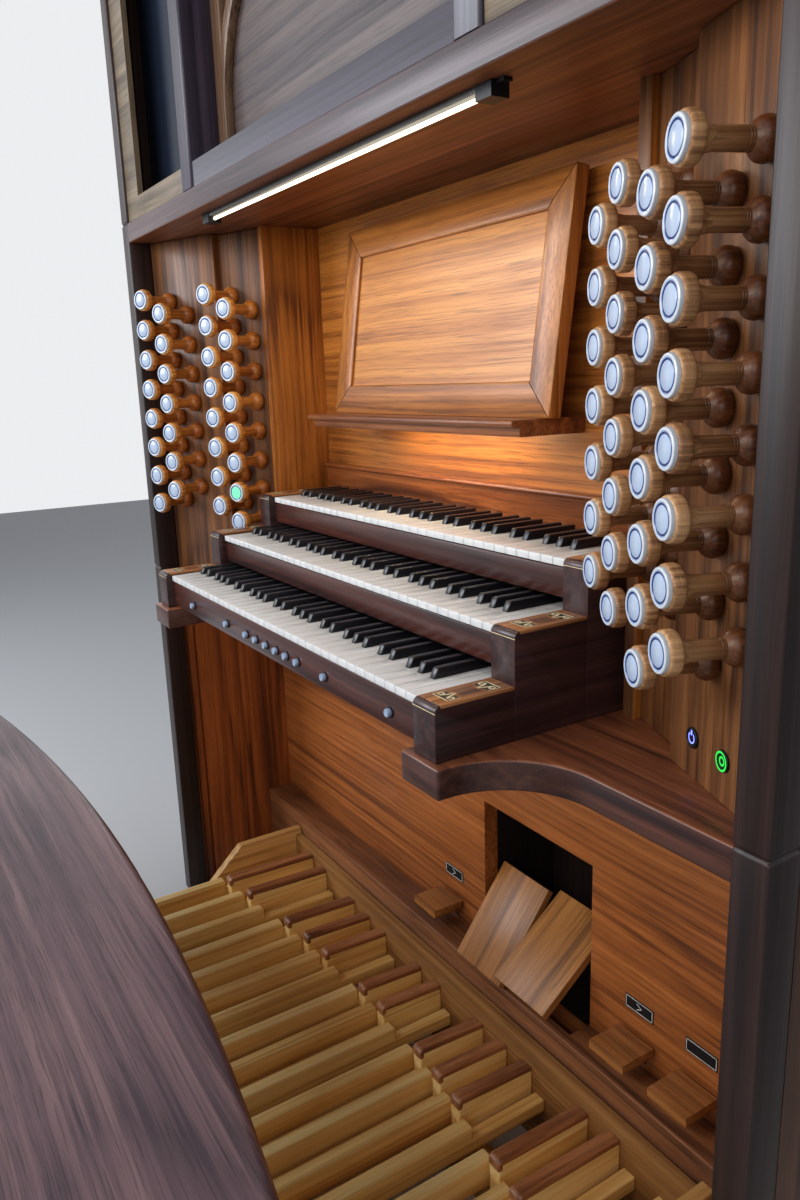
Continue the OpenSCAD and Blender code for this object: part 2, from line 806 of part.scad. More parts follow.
// The desk's mitred frame, its lower edge cut level with the ledge.
module desk_frame() {
    half = desk_w / 2;
    in = half - desk_frame_w;
    color("#8c5228") difference() {
        on_desk() difference() {
            block([-half, 0, -8], [half, desk_t, desk_h]);
            block([-in, -eps, desk_frame_w], [in, desk_sink, desk_h - desk_frame_w]);
            block([-in + 8, -eps, desk_frame_w + 8],
                  [in - 8, desk_t + eps, desk_h - desk_frame_w - 8]);
            block([-in, desk_sink - eps, desk_frame_w],
                  [in, desk_sink + desk_panel_t, desk_h - desk_frame_w]);
        }
        block([-half - eps, 0, ledge_z - 100], [half + eps, niche_y, ledge_z]);
    }
}

module desk_panel() {
    in = desk_w / 2 - desk_frame_w;
    color("#a8652f") on_desk()
        block([-in, desk_sink, desk_frame_w],
              [in, desk_sink + desk_panel_t, desk_h - desk_frame_w]);
}

lamp_y = case_front + lamp_in;
module lamp_housing() {
    z = soffit_z - lamp_t;
    color("#1c1a18") {
        block([-lamp_len / 2, lamp_y - lamp_w / 2, z],
              [lamp_len / 2, lamp_y + lamp_w / 2, soffit_z]);
        both_sides() block([lamp_len / 2, lamp_y - lamp_w / 2, z - 2 * lamp_r],
                           [lamp_len / 2 + holder_len, lamp_y + lamp_w / 2, soffit_z]);
    }
}

module lamp_tube() {
    color("#fff4d8") translate([-lamp_len / 2, lamp_y, soffit_z - lamp_t - lamp_r])
        rotate([0, 90, 0]) cylinder(r = lamp_r, h = lamp_len);
}

// Half profile of a draw-knob from the jamb (0) to its head, without its face:
// a rounded collar, the shank, a tapered neck and a head with rounded edges.
module knob_profile() {
    head = knob_out - face_t;
    back = head - head_len;
    square([shank_r, back + eps]);
    intersection() {
        translate([collar_r - collar_round, collar_round * 0.66]) circle(r = collar_round);
        square([collar_r + eps, 2 * collar_round]);
    }
    polygon([[0, back - neck_len], [shank_r, back - neck_len],
             [shank_r + head_round, back + eps], [0, back + eps]]);
    translate([0, back]) square([knob_r - head_round, head_len]);
    translate([0, back + head_round]) square([knob_r, head_len - 2 * head_round]);
    for (z = [back + head_round, head - head_round])
        translate([knob_r - head_round, z]) circle(r = head_round);
}

// Centre of each draw-knob on the right jamb: distance from the post, depth
// behind the outer panel and height; the side's short column has one less.
function knob_along(col) =
    knob_last * [knob_first, knob_first + knob_pair, 1 - knob_pair, 1][col];
function knob_spots(short) = [
    for (col = [0 : 3], row = [0 : knob_rows - 1 - (col == short ? 1 : 0)])
        [-knob_along(col), col < 2 ? 0 : jamb_step,
         knob_top - (col % 2) * knob_row / 2 - row * knob_row]];

module at_knobs() {
    on_jamb() for (p = knob_spots(3)) translate(p) rotate([90, 0, 0]) children();
    mirror([1, 0, 0]) on_jamb() for (p = knob_spots(1))
        translate(p) rotate([90, 0, 0]) children();
}

module stop_knobs() {
    color("#7a4c2a") at_knobs() rotate_extrude() knob_profile();
}

module knob_faces() {
    ring = face_r * 0.72;
    color("#f4f3ee") at_knobs() translate([0, 0, knob_out - face_t])
        rotate_extrude() difference() {
            polygon([[0, 0], [face_r, 0], [face_r, face_t - 1.6],
                     [face_r - 1.6, face_t], [face_r - 2.4, face_t],
                     [ring + 0.6, face_t - 0.6], [0, face_t - 0.6]]);
            translate([ring - 0.6, face_t - 1.4]) square([1.2, 2]);
        }
}

module power_buttons() {
    color("#30343a") on_jamb() for (s = button_places)
        translate([-s * knob_last, 0, button_z]) rotate([90, 0, 0]) rotate_extrude() polygon([
            [0, 0], [button_r, 0], [button_r, 2], [button_r - 1.5, 3],
            [button_r - 3, 3], [button_r - 4, 2], [0, 2]]);
}

// Rails of the centre bay and the inner posts, glued up as one frame; the
// posts' front edges are rounded.
module upper_frame() {
    r = inner_round;
    color("#33221f") {
        for (z = [canopy_top, stage_top - rail_h])
            block([-bay_w / 2, rail_y, z], [bay_w / 2, inner_back, z + rail_h]);
        both_sides() translate([0, 0, canopy_top]) linear_extrude(stage_top - canopy_top) {
            translate([bay_w / 2, case_front + r])
                square([inner_post_w, inner_post_d - r]);
            translate([bay_w / 2 + r, case_front]) square([inner_post_w - 2 * r, 2 * r]);
            for (x = [bay_w / 2 + r, bay_in - r])
                translate([x, case_front + r]) circle(r = r);
        }
    }
}

module upper_panel() {
    color("#5a3a2a") block([-bay_in, inner_back, canopy_top],
                           [bay_in, inner_back + bay_panel_t * 1.5, stage_top]);
}

// The area inside the three-centred arch, grown by an offset, above its foot.
module arch_area(offset) {
    rise = arch_rise * stage_room;
    haunch = arch_haunch * rise;
    x = bay_w / 2 - rib_side_w + arch_lap - haunch;
    crown = (x * x + rise * rise - haunch * haunch) / (2 * (rise - haunch));
    for (side = [-1, 1]) translate([side * x, 0]) circle(r = haunch + offset, $fn = 96);
    intersection() {
        translate([0, rise - crown]) circle(r = crown + offset, $fn = 96);
        polygon([[0, rise - crown], [3 * x, rise - crown + 3 * (crown - rise)],
                 [-3 * x, rise - crown + 3 * (crown - rise)]]);
    }
}

// Ribs of the centre bay: a straight one beside each post and an arch.
module upper_ribs() {
    foot = stage_low + arch_foot * stage_room;
    half = bay_w / 2;
    color("#7a5230") translate([0, inner_back, 0]) rotate([90, 0, 0])
        linear_extrude(rib_t) {
            for (x = [-half, half - rib_side_w])
                translate([x, stage_low]) square([rib_side_w, stage_room]);
            intersection() {
                translate([0, foot]) difference() {
                    arch_area(rib_w);
                    arch_area(0);
                }
                translate([-half, foot]) square([2 * half, stage_low + stage_room - foot]);
            }
        }
}

// The pale frame of a side bay: rails below and above, and one stile.
module bay_frames() {
    y1 = rail_y + bay_frame_t;
    color("#a07a50") both_sides() {
        for (z = [canopy_top, stage_top - rail_h])
            block([bay_in, rail_y, z], [post_in, y1, z + rail_h]);
        block([post_in - bay_stile, rail_y, canopy_top], [post_in, y1, stage_top]);
    }
}

module bay_panels() {
    color("#16203a") both_sides()
        block([bay_in, inner_back - bay_panel_t, canopy_top],
              [case_w / 2 - board_t, inner_back, stage_top]);
}

// Height of the pedals at a distance x from the middle: the board is dished.
function dish(x) = 1.1e-4 * x * x;
function nat_end_y(x) = nat_end - 2.77e-4 * x * x;
function sharp_end_y(x) = nat_end - 8 - 2.9e-4 * x * x;
function ped_x(i) = (i - (pedal_count - 1) / 2) * pedal_pitch;
function ped_sharp(i) = len([for (k = sharp_ped_after) if (k == i % 7) 1]) > 0;

module natural_pedals() {
    r = 4;
    color("#c89a55") for (i = [0 : pedal_count - 1]) {
        x = ped_x(i);
        top = nat_z + dish(x);
        y1 = nat_end_y(x);
        along_x(x - nat_w / 2, x + nat_w / 2) {
            difference() {
                polygon([[-heel_y, top - nat_depth], [-heel_y, top], [y1, top],
                         [y1, top - nat_drop], [rail_front_y, top - nat_drop],
                         [rail_front_y, top - nat_depth - 6]]);
                difference() {
                    translate([y1 - r, top - r]) square(2 * r);
                    translate([y1 - r, top - r]) circle(r = r);
                }
            }
        }
    }
}

// A sharp pedal's wood: a low lever from the heel with a raised end.
module sharp_pedals() {
    color("#c08c4a") for (i = [0 : pedal_count - 2]) if (ped_sharp(i)) {
        x = ped_x(i) + pedal_pitch / 2;
        top = nat_z + dish(x) + sharp_rise - cap_t;
        y0 = sharp_end_y(x);
        low = nat_z - nat_depth - 8;
        along_x(x - sharp_ped_w / 2, x + sharp_ped_w / 2) polygon([
            [-heel_y, low], [-heel_y, low + 22], [y0 + 2, low + 22],
            [y0 + 2, top - cap_nose + cap_t], [y0 + cap_t, top - cap_nose + cap_t],
            [y0 + cap_t, top], [rail_front_y, top - 6], [rail_front_y, low]]);
    }
}

module sharp_caps() {
    color("#7a4526") for (i = [0 : pedal_count - 2]) if (ped_sharp(i)) {
        x = ped_x(i) + pedal_pitch / 2;
        top = nat_z + dish(x) + sharp_rise;
        y0 = sharp_end_y(x);
        along_x(x - sharp_ped_w / 2, x + sharp_ped_w / 2) {
            difference() {
                polygon([[y0, top - cap_nose], [y0, top], [y0 + cap_t, top],
                         [rail_front_y, top - 6], [rail_front_y, top - 6 - cap_t],
                         [y0 + cap_t, top - cap_t], [y0 + cap_t, top - cap_nose]]);
                difference() {
                    translate([y0 - cap_t, top - cap_t]) square([2 * cap_t, 2 * cap_t]);
                    translate([y0 + cap_t, top - cap_t]) circle(r = cap_t);
                    translate([y0 + cap_t, top - cap_t]) square(2 * cap_t);
                }
            }
        }
    }
}

module pedal_frame() {
    front = -heel_y - frame_t;
    cross_h = nat_z - nat_depth - 20;
    color("#b88a48") {
        both_sides() along_x(frame_in, frame_in + frame_t) polygon([
            [front, 0], [front, nat_z], [82, nat_z], [159, frame_h],
            [rail_front_y + back_rail_t, frame_h], [rail_front_y + back_rail_t, 0]]);
        block([-frame_in - eps, front, 0], [frame_in + eps, -heel_y, nat_z]);
        block([-frame_in - eps, rail_front_y, 0],
              [frame_in + eps, rail_front_y + back_rail_t, back_rail_h]);
        for (y = [-200, 150])
            block([-frame_in - eps, y, 0], [frame_in + eps, y + 50, cross_h]);
    }
}

// The seat: its front edge is a long bow, rounded above and below.
module bench_seat() {
    r = seat_round;
    color("#5a3d33") intersection() {
        translate([0, -seat_front - seat_bow, seat_z - seat_t])
            rotate_extrude($fn = 720) difference() {
                translate([seat_bow / 2, 0]) square([seat_bow / 2, seat_t]);
                for (z = [0, seat_t]) difference() {
                    translate([seat_bow - r, z - r]) square(2 * r);
                    translate([seat_bow - r, abs(z - r)]) circle(r = r);
                }
            }
        block([-seat_w / 2, -seat_back, 0], [seat_w / 2, 0, seat_z + eps]);
    }
}

// End boards with arched feet, a back stretcher and a rail under the seat.
module bench_frame() {
    low = seat_z - seat_t;
    inner = bench_end - bench_end_t;
    y0 = 35 - seat_back;
    y1 = -seat_front - 70;
    color("#4a2a20") {
        both_sides() along_x(inner, bench_end) difference() {
            translate([y0, 0]) square([y1 - y0, low]);
            translate([(y0 + y1) / 2, -20]) circle(r = 95, $fn = 64);
        }
        block([-inner - eps, y0 + 60, low / 2 - stretcher_h / 2],
              [inner + eps, y0 + 60 + bench_end_t, low / 2 + stretcher_h / 2]);
        block([-inner - eps, y1 - 70, low - 80], [inner + eps, y1 - 45, low]);
    }
}

// A swell pedal drawn level, its tread's face at z = 0 and its heel at y = 0,
// then turned about the shaft to its slope at rest.
module swell_pedal(x0, rest) {
    hub_r = shaft_rad + run_gap + hub_wall;
    mid = x0 + pedal_w / 2;
    translate([0, shaft_y, shaft_z]) rotate([rest, 0, 0])
        translate([0, -hub_along, hub_deep]) difference() {
            union() {
                block([x0, 0, -pedal_t], [x0 + pedal_w, pedal_len, 0]);
                along_x(mid - hub_w / 2, mid + hub_w / 2) {
                    translate([hub_along, -hub_deep]) circle(r = hub_r);
                    polygon([[hub_along - hub_heel, -pedal_t + eps],
                             [hub_along + hub_toe, -pedal_t + eps],
                             [hub_along + hub_r, -hub_deep], [hub_along - hub_r, -hub_deep]]);
                }
            }
            translate([x0, hub_along, -hub_deep]) rotate([0, 90, 0])
                cylinder(r = shaft_rad + run_gap, h = pedal_w);
        }
}

pedal_side = (swell_w - 2 * pedal_w) / 3;
module swell_pedal_left() {
    color("#8a5228") swell_pedal(swell_x + pedal_side, swell_rest_left);
}

module swell_pedal_right() {
    color("#9a6030") swell_pedal(swell_x + swell_w - pedal_side - pedal_w,
                                 swell_rest_right);
}

// A toe pedal: a plank on an arm that reaches through the knee panel to its
// bored hub.
module toe_pedal(x) {
    arm_top = toe_top - toe_plank_t;
    difference() {
        union() {
            block([x - toe_w / 2, knee_y - toe_gap - toe_d, arm_top],
                  [x + toe_w / 2, knee_y - toe_gap, toe_top]);
            block([x - toe_arm_w / 2, knee_y - toe_gap - toe_d + 14, arm_top - toe_arm_t],
                  [x + toe_arm_w / 2, toe_pin_y, arm_top + eps / 2]);
            translate([x - toe_arm_w / 2, toe_pin_y, toe_pin_z]) rotate([0, 90, 0])
                cylinder(r = toe_hub_r, h = toe_arm_w);
        }
        translate([x - toe_arm_w, toe_pin_y, toe_pin_z]) rotate([0, 90, 0])
            cylinder(r = toe_pin_r + run_gap, h = 2 * toe_arm_w);
    }
}

module toe_pedal_left() {
    color("#8a4f28") toe_pedal(toe_places[0]);
}

module toe_pedal_middle() {
    color("#8a4f28") toe_pedal(toe_places[1]);
}

module toe_pedal_right() {
    color("#8a4f28") toe_pedal(toe_places[2]);
}

case_posts();
case_sides();
case_back();
roof_board();
lower_side_walls();
knee_panel();
toe_board();
swell_box();
swell_shaft();
toe_brackets();
label_plates();
key_table();
key_cheeks();
cheek_tops();
key_slip();
thumb_pistons();
natural_keys();
sharp_keys();
key_beds();
key_rails();
nameboard();
stop_jambs();
niche_sides();
niche_back();
desk_frame();
desk_panel();
music_ledge();
canopy();
lamp_housing();
lamp_tube();
stop_knobs();
knob_faces();
power_buttons();
upper_frame();
upper_panel();
upper_ribs();
bay_frames();
bay_panels();
pedal_frame();
natural_pedals();
sharp_pedals();
sharp_caps();
bench_seat();
bench_frame();
swell_pedal_left();
swell_pedal_right();
toe_pedal_left();
toe_pedal_middle();
toe_pedal_right();
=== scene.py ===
import math
import random

import bmesh
import bpy
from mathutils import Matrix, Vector


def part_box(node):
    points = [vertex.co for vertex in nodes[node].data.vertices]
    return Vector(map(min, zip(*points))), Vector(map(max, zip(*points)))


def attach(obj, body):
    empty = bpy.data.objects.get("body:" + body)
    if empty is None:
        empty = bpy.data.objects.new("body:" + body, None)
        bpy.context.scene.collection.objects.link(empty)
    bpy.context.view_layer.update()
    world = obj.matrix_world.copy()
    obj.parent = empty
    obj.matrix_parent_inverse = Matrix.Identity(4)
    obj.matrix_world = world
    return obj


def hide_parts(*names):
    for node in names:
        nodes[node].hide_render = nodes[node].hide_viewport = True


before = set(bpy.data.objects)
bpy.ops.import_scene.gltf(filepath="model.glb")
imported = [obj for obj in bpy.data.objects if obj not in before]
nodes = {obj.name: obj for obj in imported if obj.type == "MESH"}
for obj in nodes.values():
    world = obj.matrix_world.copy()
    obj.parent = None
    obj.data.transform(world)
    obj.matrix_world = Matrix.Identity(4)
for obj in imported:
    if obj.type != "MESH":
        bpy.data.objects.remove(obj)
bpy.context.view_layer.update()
scene = bpy.context.scene
scene.view_settings.view_transform = "Standard"


# Viewpoint: the player's right shoulder, a little above the top manual, looking
# across the keyboards to the treble jamb, with a wide lens on an upright frame.
def put_in_scene(name, data):
    """A new object that stands at the origin."""
    thing = bpy.data.objects.new(name, data)
    scene.collection.objects.link(thing)
    return thing


eye = bpy.data.cameras.new("viewpoint")
eye.sensor_width = 36.0
eye.lens = 27.24
eye.clip_start = 0.02
camera = put_in_scene("viewpoint", eye)
camera.location = (1.23737, -0.52312, 1.22718)
camera.rotation_euler = [math.radians(degrees) for degrees in (76.355, 1.837, 57.752)]
scene.camera = camera


# Studio: a pale floor without an edge in view, a pale surround that metal and
# glaze mirror too, and large soft lamps, cool from the left and warmer right.
def feed(tree, node, inputs):
    """Fills a node's inputs, each with a constant or from another node's socket."""
    for where, value in inputs.items():
        if isinstance(value, bpy.types.NodeSocket):
            tree.links.new(value, node.inputs[where])
        else:
            node.inputs[where].default_value = value
    return node


def add(tree, kind, inputs, **settings):
    """A new node with its settings and inputs."""
    node = tree.nodes.new(kind)
    for setting, value in settings.items():
        setattr(node, setting, value)
    return feed(tree, node, inputs)


def new_finish(name):
    """A material, its node tree and the shader at the end of the tree."""
    finish = bpy.data.materials.new(name)
    finish.use_nodes = True
    return finish, finish.node_tree, finish.node_tree.nodes["Principled BSDF"]


floor_half = 9
floor_mesh = bpy.data.meshes.new("studio_floor")
floor_mesh.from_pydata([(-floor_half, -floor_half, 0), (floor_half, -floor_half, 0),
                        (floor_half, floor_half, 0), (-floor_half, floor_half, 0)],
                       [], [(0, 1, 2, 3)])
studio_floor = put_in_scene("studio_floor", floor_mesh)
floor_paint, tree, bsdf = new_finish("studio_floor_paint")
feed(tree, bsdf, {"Base Color": (0.74, 0.74, 0.74, 1), "Roughness": 0.8})
floor_mesh.materials.append(floor_paint)

surround = bpy.data.worlds.new("studio_surround")
scene.world = surround
surround.use_nodes = True
sky = surround.node_tree
sky.nodes.clear()
rays = add(sky, "ShaderNodeLightPath", {}).outputs
lit = add(sky, "ShaderNodeBackground", {"Color": (0.86, 0.91, 1.0, 1), "Strength": 0.21})
seen = add(sky, "ShaderNodeBackground", {"Color": (0.84, 0.85, 0.87, 1), "Strength": 1.0})
seen_or_mirrored = add(sky, "ShaderNodeMath", operation="MAXIMUM",
                       inputs={0: rays["Is Camera Ray"], 1: rays["Is Glossy Ray"]})
any_seen = add(sky, "ShaderNodeMath", operation="MAXIMUM",
               inputs={0: seen_or_mirrored.outputs[0], 1: rays["Is Transmission Ray"]})
pick = add(sky, "ShaderNodeMixShader",
           {"Fac": any_seen.outputs[0], 1: lit.outputs[0], 2: seen.outputs[0]})
add(sky, "ShaderNodeOutputWorld", {"Surface": pick.outputs[0]})


def soft_lamp(name, place, aim, size, power, tint):
    """A rectangular lamp at a place, turned towards the point that it lights."""
    lamp = bpy.data.lights.new(name, "AREA")
    lamp.shape = "RECTANGLE"
    lamp.size, lamp.size_y = size
    lamp.energy = power
    lamp.color = tint
    holder = put_in_scene(name, lamp)
    holder.location = place
    holder.rotation_euler = (Vector(aim) - Vector(place)).to_track_quat("-Z", "Y").to_euler()


cool_tint, neutral_tint, warm_tint = (0.86, 0.92, 1.0), (1.0, 0.97, 0.93), (1.0, 0.95, 0.88)
soft_lamp("window_lamp", (-2.7, -3.1, 2.3), (0, 0.0, 0.8), (2.0, 1.6), 104, cool_tint)
soft_lamp("fill_lamp", (2.4, -2.2, 2.3), (0.1, 0.1, 0.8), (1.8, 1.8), 20, neutral_tint)
soft_lamp("front_lamp", (0.1, -1.5, 1.9), (0, 0.3, 1.1), (1.6, 0.7), 18, warm_tint)


# Case woodwork: the framed sides, posts, back and roof are oiled walnut boards,
# glued up and screwed together, with the posts darkened and grooved at each joint.
mm = 0.001


def tone(red, green, blue):
    """A colour as it looks on a screen, 0 to 255, in the linear values that Blender wants."""
    return tuple(((c / 255 + 0.055) / 1.055) ** 2.4 if c > 10 else c / 3294.6
                 for c in (red, green, blue))


def ramp(tree, source, stops):
    """Colours over a value, from pairs of a position and a linear colour."""
    node = add(tree, "ShaderNodeValToRGB", {"Fac": source})
    marks = node.color_ramp.elements
    for k, (position, colour) in enumerate(stops):
        mark = marks[k] if k < 2 else marks.new(position)
        mark.position, mark.color = position, (*colour, 1)
    return node.outputs["Color"]


def span(tree, source, low, high, from_low=0.0, from_high=1.0):
    """A value carried over from one range to another."""
    return add(tree, "ShaderNodeMapRange",
               {"Value": source, "From Min": from_low, "From Max": from_high,
                "To Min": low, "To Max": high}).outputs[0]


def timber(name, tones, grain="Z", lines=26, spacing=38, wander=0.012, pores=0.5,
           figure=0.085, rough=0.42, coat=0.0, shift=(0, 0, 0), turn=(0, 0, 0),
           follow=None, vary=0.0, painted_foot_shade=None):
    """Sawn and finished wood: growth lines that wander a little, a plain-sawn
    figure, broad changes of colour and short dark pores, all along one axis.
    Its tones are the pale, the middle and the dark one. With vary, every stick
    has its own grain and tone; with a foot colour, painted shade darkens a
    turning's foot and fades towards its head."""
    wood, tree, bsdf = new_finish(name)
    pale, middle, dark = (tone(*colour) for colour in tones)
    axis = "XYZ".index(grain)

    def per_axis(along, across):
        return [along if k == axis else across for k in range(3)]

    def number(operation, *values):
        return add(tree, "ShaderNodeMath", dict(enumerate(values)),
                   operation=operation).outputs[0]

    def vector(operation, *values):
        return add(tree, "ShaderNodeVectorMath", dict(enumerate(values)),
                   operation=operation).outputs[0]

    def sum_up(a, share_a, b, share_b):
        return number("MULTIPLY_ADD", b, share_b, number("MULTIPLY", a, share_a))

    def noise(source, along, across, detail, harsh):
        drawn_out = add(tree, "ShaderNodeMapping",
                        {"Vector": source, "Scale": per_axis(along, across)})
        return add(tree, "ShaderNodeTexNoise",
                   {"Vector": drawn_out.outputs[0], "Scale": 1.0, "Detail": detail,
                    "Roughness": harsh}).outputs

    def mixed(share, a, b, blend_type="MIX"):
        return add(tree, "ShaderNodeMix", {0: share, 6: a, 7: b}, data_type="RGBA",
                   blend_type=blend_type).outputs[2]

    if follow:
        place = add(tree, "ShaderNodeAttribute", {}, attribute_name=follow).outputs["Vector"]
    else:
        place = add(tree, "ShaderNodeTexCoord", {}).outputs["Object"]
    own_place = place
    if vary:
        stick = add(tree, "ShaderNodeAttribute", {}, attribute_name="shade").outputs["Fac"]
        own_place = vector("ADD", place, vector("MULTIPLY", stick, (3.1, 5.3, 7.7)))
    board = add(tree, "ShaderNodeMapping",
                {"Vector": own_place, "Location": shift, "Rotation": turn}).outputs[0]

    bend = vector("SUBTRACT", noise(board, 1.7, 6.0, 2.0, 0.5)["Color"], (0.5, 0.5, 0.5))
    line = vector("ADD", board, vector("MULTIPLY", bend, per_axis(0.0, 2 * wander)))
    growth = noise(line, 0.55, 1.9 * spacing, 5.0, 0.60)["Fac"]
    heart = noise(board, 0.75, 4.4, 0.8, 0.5)["Fac"]
    broad = noise(board, 0.9, 7.0, 1.5, 0.5)["Fac"]
    fibre = noise(line, 11.0, 620.0, 2.0, 0.6)["Fac"]
    ring = number("PINGPONG", sum_up(heart, lines, growth, 1.5), 1.0)
    late_wood = number("POWER", ring, 2.0)
    shade = sum_up(growth, 0.70, broad, 0.26)
    shade = sum_up(shade, 1.0, late_wood, -figure)
    if vary:
        shade = sum_up(shade, 1.0, number("SUBTRACT", stick, 0.5), vary)

    colour = ramp(tree, shade, [(0.30, dark), (0.44, middle), (0.60, pale)])
    pore = ramp(tree, fibre, [(0.33, (1 - pores, 1 - pores, 1 - pores)), (0.47, (1, 1, 1))])
    colour = mixed(1.0, colour, pore, "MULTIPLY")
    # Painted shade: the colour darkens towards a turning's foot, by the jamb, and fades up the
    # shank.
    if painted_foot_shade:
        height = add(tree, "ShaderNodeSeparateXYZ", {0: place}).outputs["Z"]
        up_the_shank = span(tree, height, 0.0, 1.0, 14 * mm, 66 * mm)
        tint = mixed(up_the_shank, (*painted_foot_shade, 1), (1, 1, 1, 1))
        colour = mixed(1.0, colour, tint, "MULTIPLY")
    relief = add(tree, "ShaderNodeBump", {"Height": fibre, "Strength": 0.25, "Distance": 0.0005})
    feed(tree, bsdf, {"Base Color": colour, "Specular IOR Level": 0.3,
                      "Roughness": span(tree, shade, rough + 0.08, rough - 0.06, 0.25, 0.65),
                      "Normal": relief.outputs[0]})
    if coat:
        feed(tree, bsdf, {"Coat Weight": coat, "Coat Roughness": 0.28})
    return wood


def islands(mesh):
    """The corner numbers of each separate piece of a mesh."""
    parent = list(range(len(mesh.vertices)))

    def root(k):
        while parent[k] != k:
            parent[k] = parent[parent[k]]
            k = parent[k]
        return k

    for edge in mesh.edges:
        a, b = root(edge.vertices[0]), root(edge.vertices[1])
        if a != b:
            parent[a] = b
    found = {}
    for k in range(len(parent)):
        found.setdefault(root(k), []).append(k)
    return list(found.values())


cad_weld = 2e-5
flat_edge, eased_edge = math.radians(0.6), math.radians(38)
crisp_board = 32


def clean(mesh, weld=0.0, flatten=False, outward=False):
    """Joins corners nearer than weld, takes out the edges that lie in a flat
    face, and turns the faces outwards."""
    bm = bmesh.new()
    bm.from_mesh(mesh)
    if weld:
        bmesh.ops.remove_doubles(bm, verts=bm.verts, dist=weld)
    if flatten:
        bmesh.ops.dissolve_limit(bm, angle_limit=flat_edge, verts=bm.verts, edges=bm.edges)
    if outward:
        bmesh.ops.recalc_face_normals(bm, faces=bm.faces)
    bm.to_mesh(mesh)
    bm.free()


def smooth(mesh, degrees):
    """Smooth shading, with a crisp edge where faces meet at more than some degrees."""
    mesh.shade_smooth()
    mesh.set_sharp_from_angle(angle=math.radians(degrees))


def finish_node(name, finish):
    """Gives a carried-over node its finish."""
    mesh = nodes[name].data
    mesh.materials.clear()
    mesh.materials.append(finish)


def eased(name, width, finish, steps=2, body="console"):
    """The same piece with its arrises eased, as a joiner leaves them."""
    mesh = nodes[name].data.copy()
    clean(mesh, weld=cad_weld, flatten=True)
    mesh.materials.clear()
    mesh.materials.append(finish)
    piece = put_in_scene(name + "_eased", mesh)
    if width > 0:
        ease = piece.modifiers.new("ease", "BEVEL")
        ease.width = width
        ease.segments = steps
        ease.limit_method = "ANGLE"
        ease.angle_limit = eased_edge
        ease.use_clamp_overlap = True
        deps = bpy.context.evaluated_depsgraph_get()
        plain = bpy.data.meshes.new_from_object(piece.evaluated_get(deps))
        piece.modifiers.clear()
        piece.data = plain
    smooth(piece.data, crisp_board)
    shade = piece.data.attributes.new("shade", "FLOAT", "POINT")
    rng = random.Random(len(name))
    for corners in islands(piece.data):
        value = rng.random()
        for k in corners:
            shade.data[k].value = value
    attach(piece, body)
    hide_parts(name)
    return piece


dark_up = timber("dark_walnut_upright", [(58, 40, 38), (42, 29, 28), (24, 17, 18)],
                 lines=20, spacing=40, pores=0.3, rough=0.38)
dark_across = timber("dark_walnut_across", [(86, 58, 52), (62, 41, 38), (36, 23, 22)],
                     "X", lines=20, spacing=44, pores=0.35, rough=0.34)
case_side_walnut = timber("case_side_walnut", [(104, 68, 48), (78, 50, 36), (48, 30, 23)],
                          lines=24, pores=0.4, rough=0.42, shift=(0.2, 0.7, 0))
side_wall_walnut = timber("side_wall_walnut", [(176, 98, 48), (140, 73, 34), (84, 43, 22)],
                          lines=17, spacing=44, figure=0.14, pores=0.45, rough=0.40,
                          shift=(0.1, 0.0, 0.2))

eased("case_posts", 0.002, dark_up)
finish_node("case_sides", case_side_walnut)
finish_node("case_back", case_side_walnut)
finish_node("roof_board", dark_across)
finish_node("lower_side_walls", side_wall_walnut)


# Upper stage: dark rails and round-edged posts glued up as one frame, pale
# frames in the side bays before dark boards tinted deep blue, a painted
# reflection of cool light, and a bent rib on a panel.
def refinish(piece, finish, where):
    """A second finish on the faces that where picks, such as rails beside stiles."""
    piece.data.materials.append(finish)
    for face in piece.data.polygons:
        if where(face):
            face.material_index = len(piece.data.materials) - 1


stage_post_x, bay_stile_x = 0.3885, 0.706
# The frame's blue-purple tone is a painted cool sheen on dark walnut.
stage_tones = [(74, 65, 84), (53, 46, 62), (31, 27, 38)]
stage_post_walnut = timber("stage_post_walnut", stage_tones, lines=16, spacing=46,
                           pores=0.3, rough=0.34, coat=0.15)
stage_frame = eased("upper_frame", 0.0015, stage_post_walnut)
refinish(stage_frame, timber("stage_rail_walnut", stage_tones, "X", lines=16, spacing=46,
                             pores=0.3, rough=0.34, coat=0.15),
         lambda face: abs(face.center.x) < stage_post_x)
finish_node("upper_panel", timber(
    "stage_panel_walnut", [(102, 88, 84), (77, 66, 66), (47, 40, 44)], "X",
    lines=24, spacing=56, pores=0.45, rough=0.42, shift=(0.4, 0, 0.13)))
eased("upper_ribs", 0.002, timber(
    "rib_walnut", [(136, 108, 86), (104, 79, 62), (64, 47, 38)],
    lines=18, spacing=48, pores=0.4, rough=0.40))
bay_tones = [(138, 120, 96), (110, 94, 73), (72, 60, 46)]
bay_stile_walnut = timber("bay_stile_walnut", bay_tones, lines=18, spacing=46,
                          pores=0.4, rough=0.44, shift=(0.3, 0, 0))
bay_frames = eased("bay_frames", 0.001, bay_stile_walnut)
refinish(bay_frames, timber("bay_rail_walnut", bay_tones, "X", lines=18, spacing=46,
                            pores=0.4, rough=0.44, shift=(0, 0, 0.3)),
         lambda face: abs(face.center.x) < bay_stile_x)
# Painted reflection: the bay boards are dark boards tinted deep blue by cool light.
finish_node("bay_panels", timber(
    "blue_reflection_board", [(34, 44, 64), (24, 32, 50), (14, 19, 32)],
    lines=16, pores=0.2, rough=0.46))
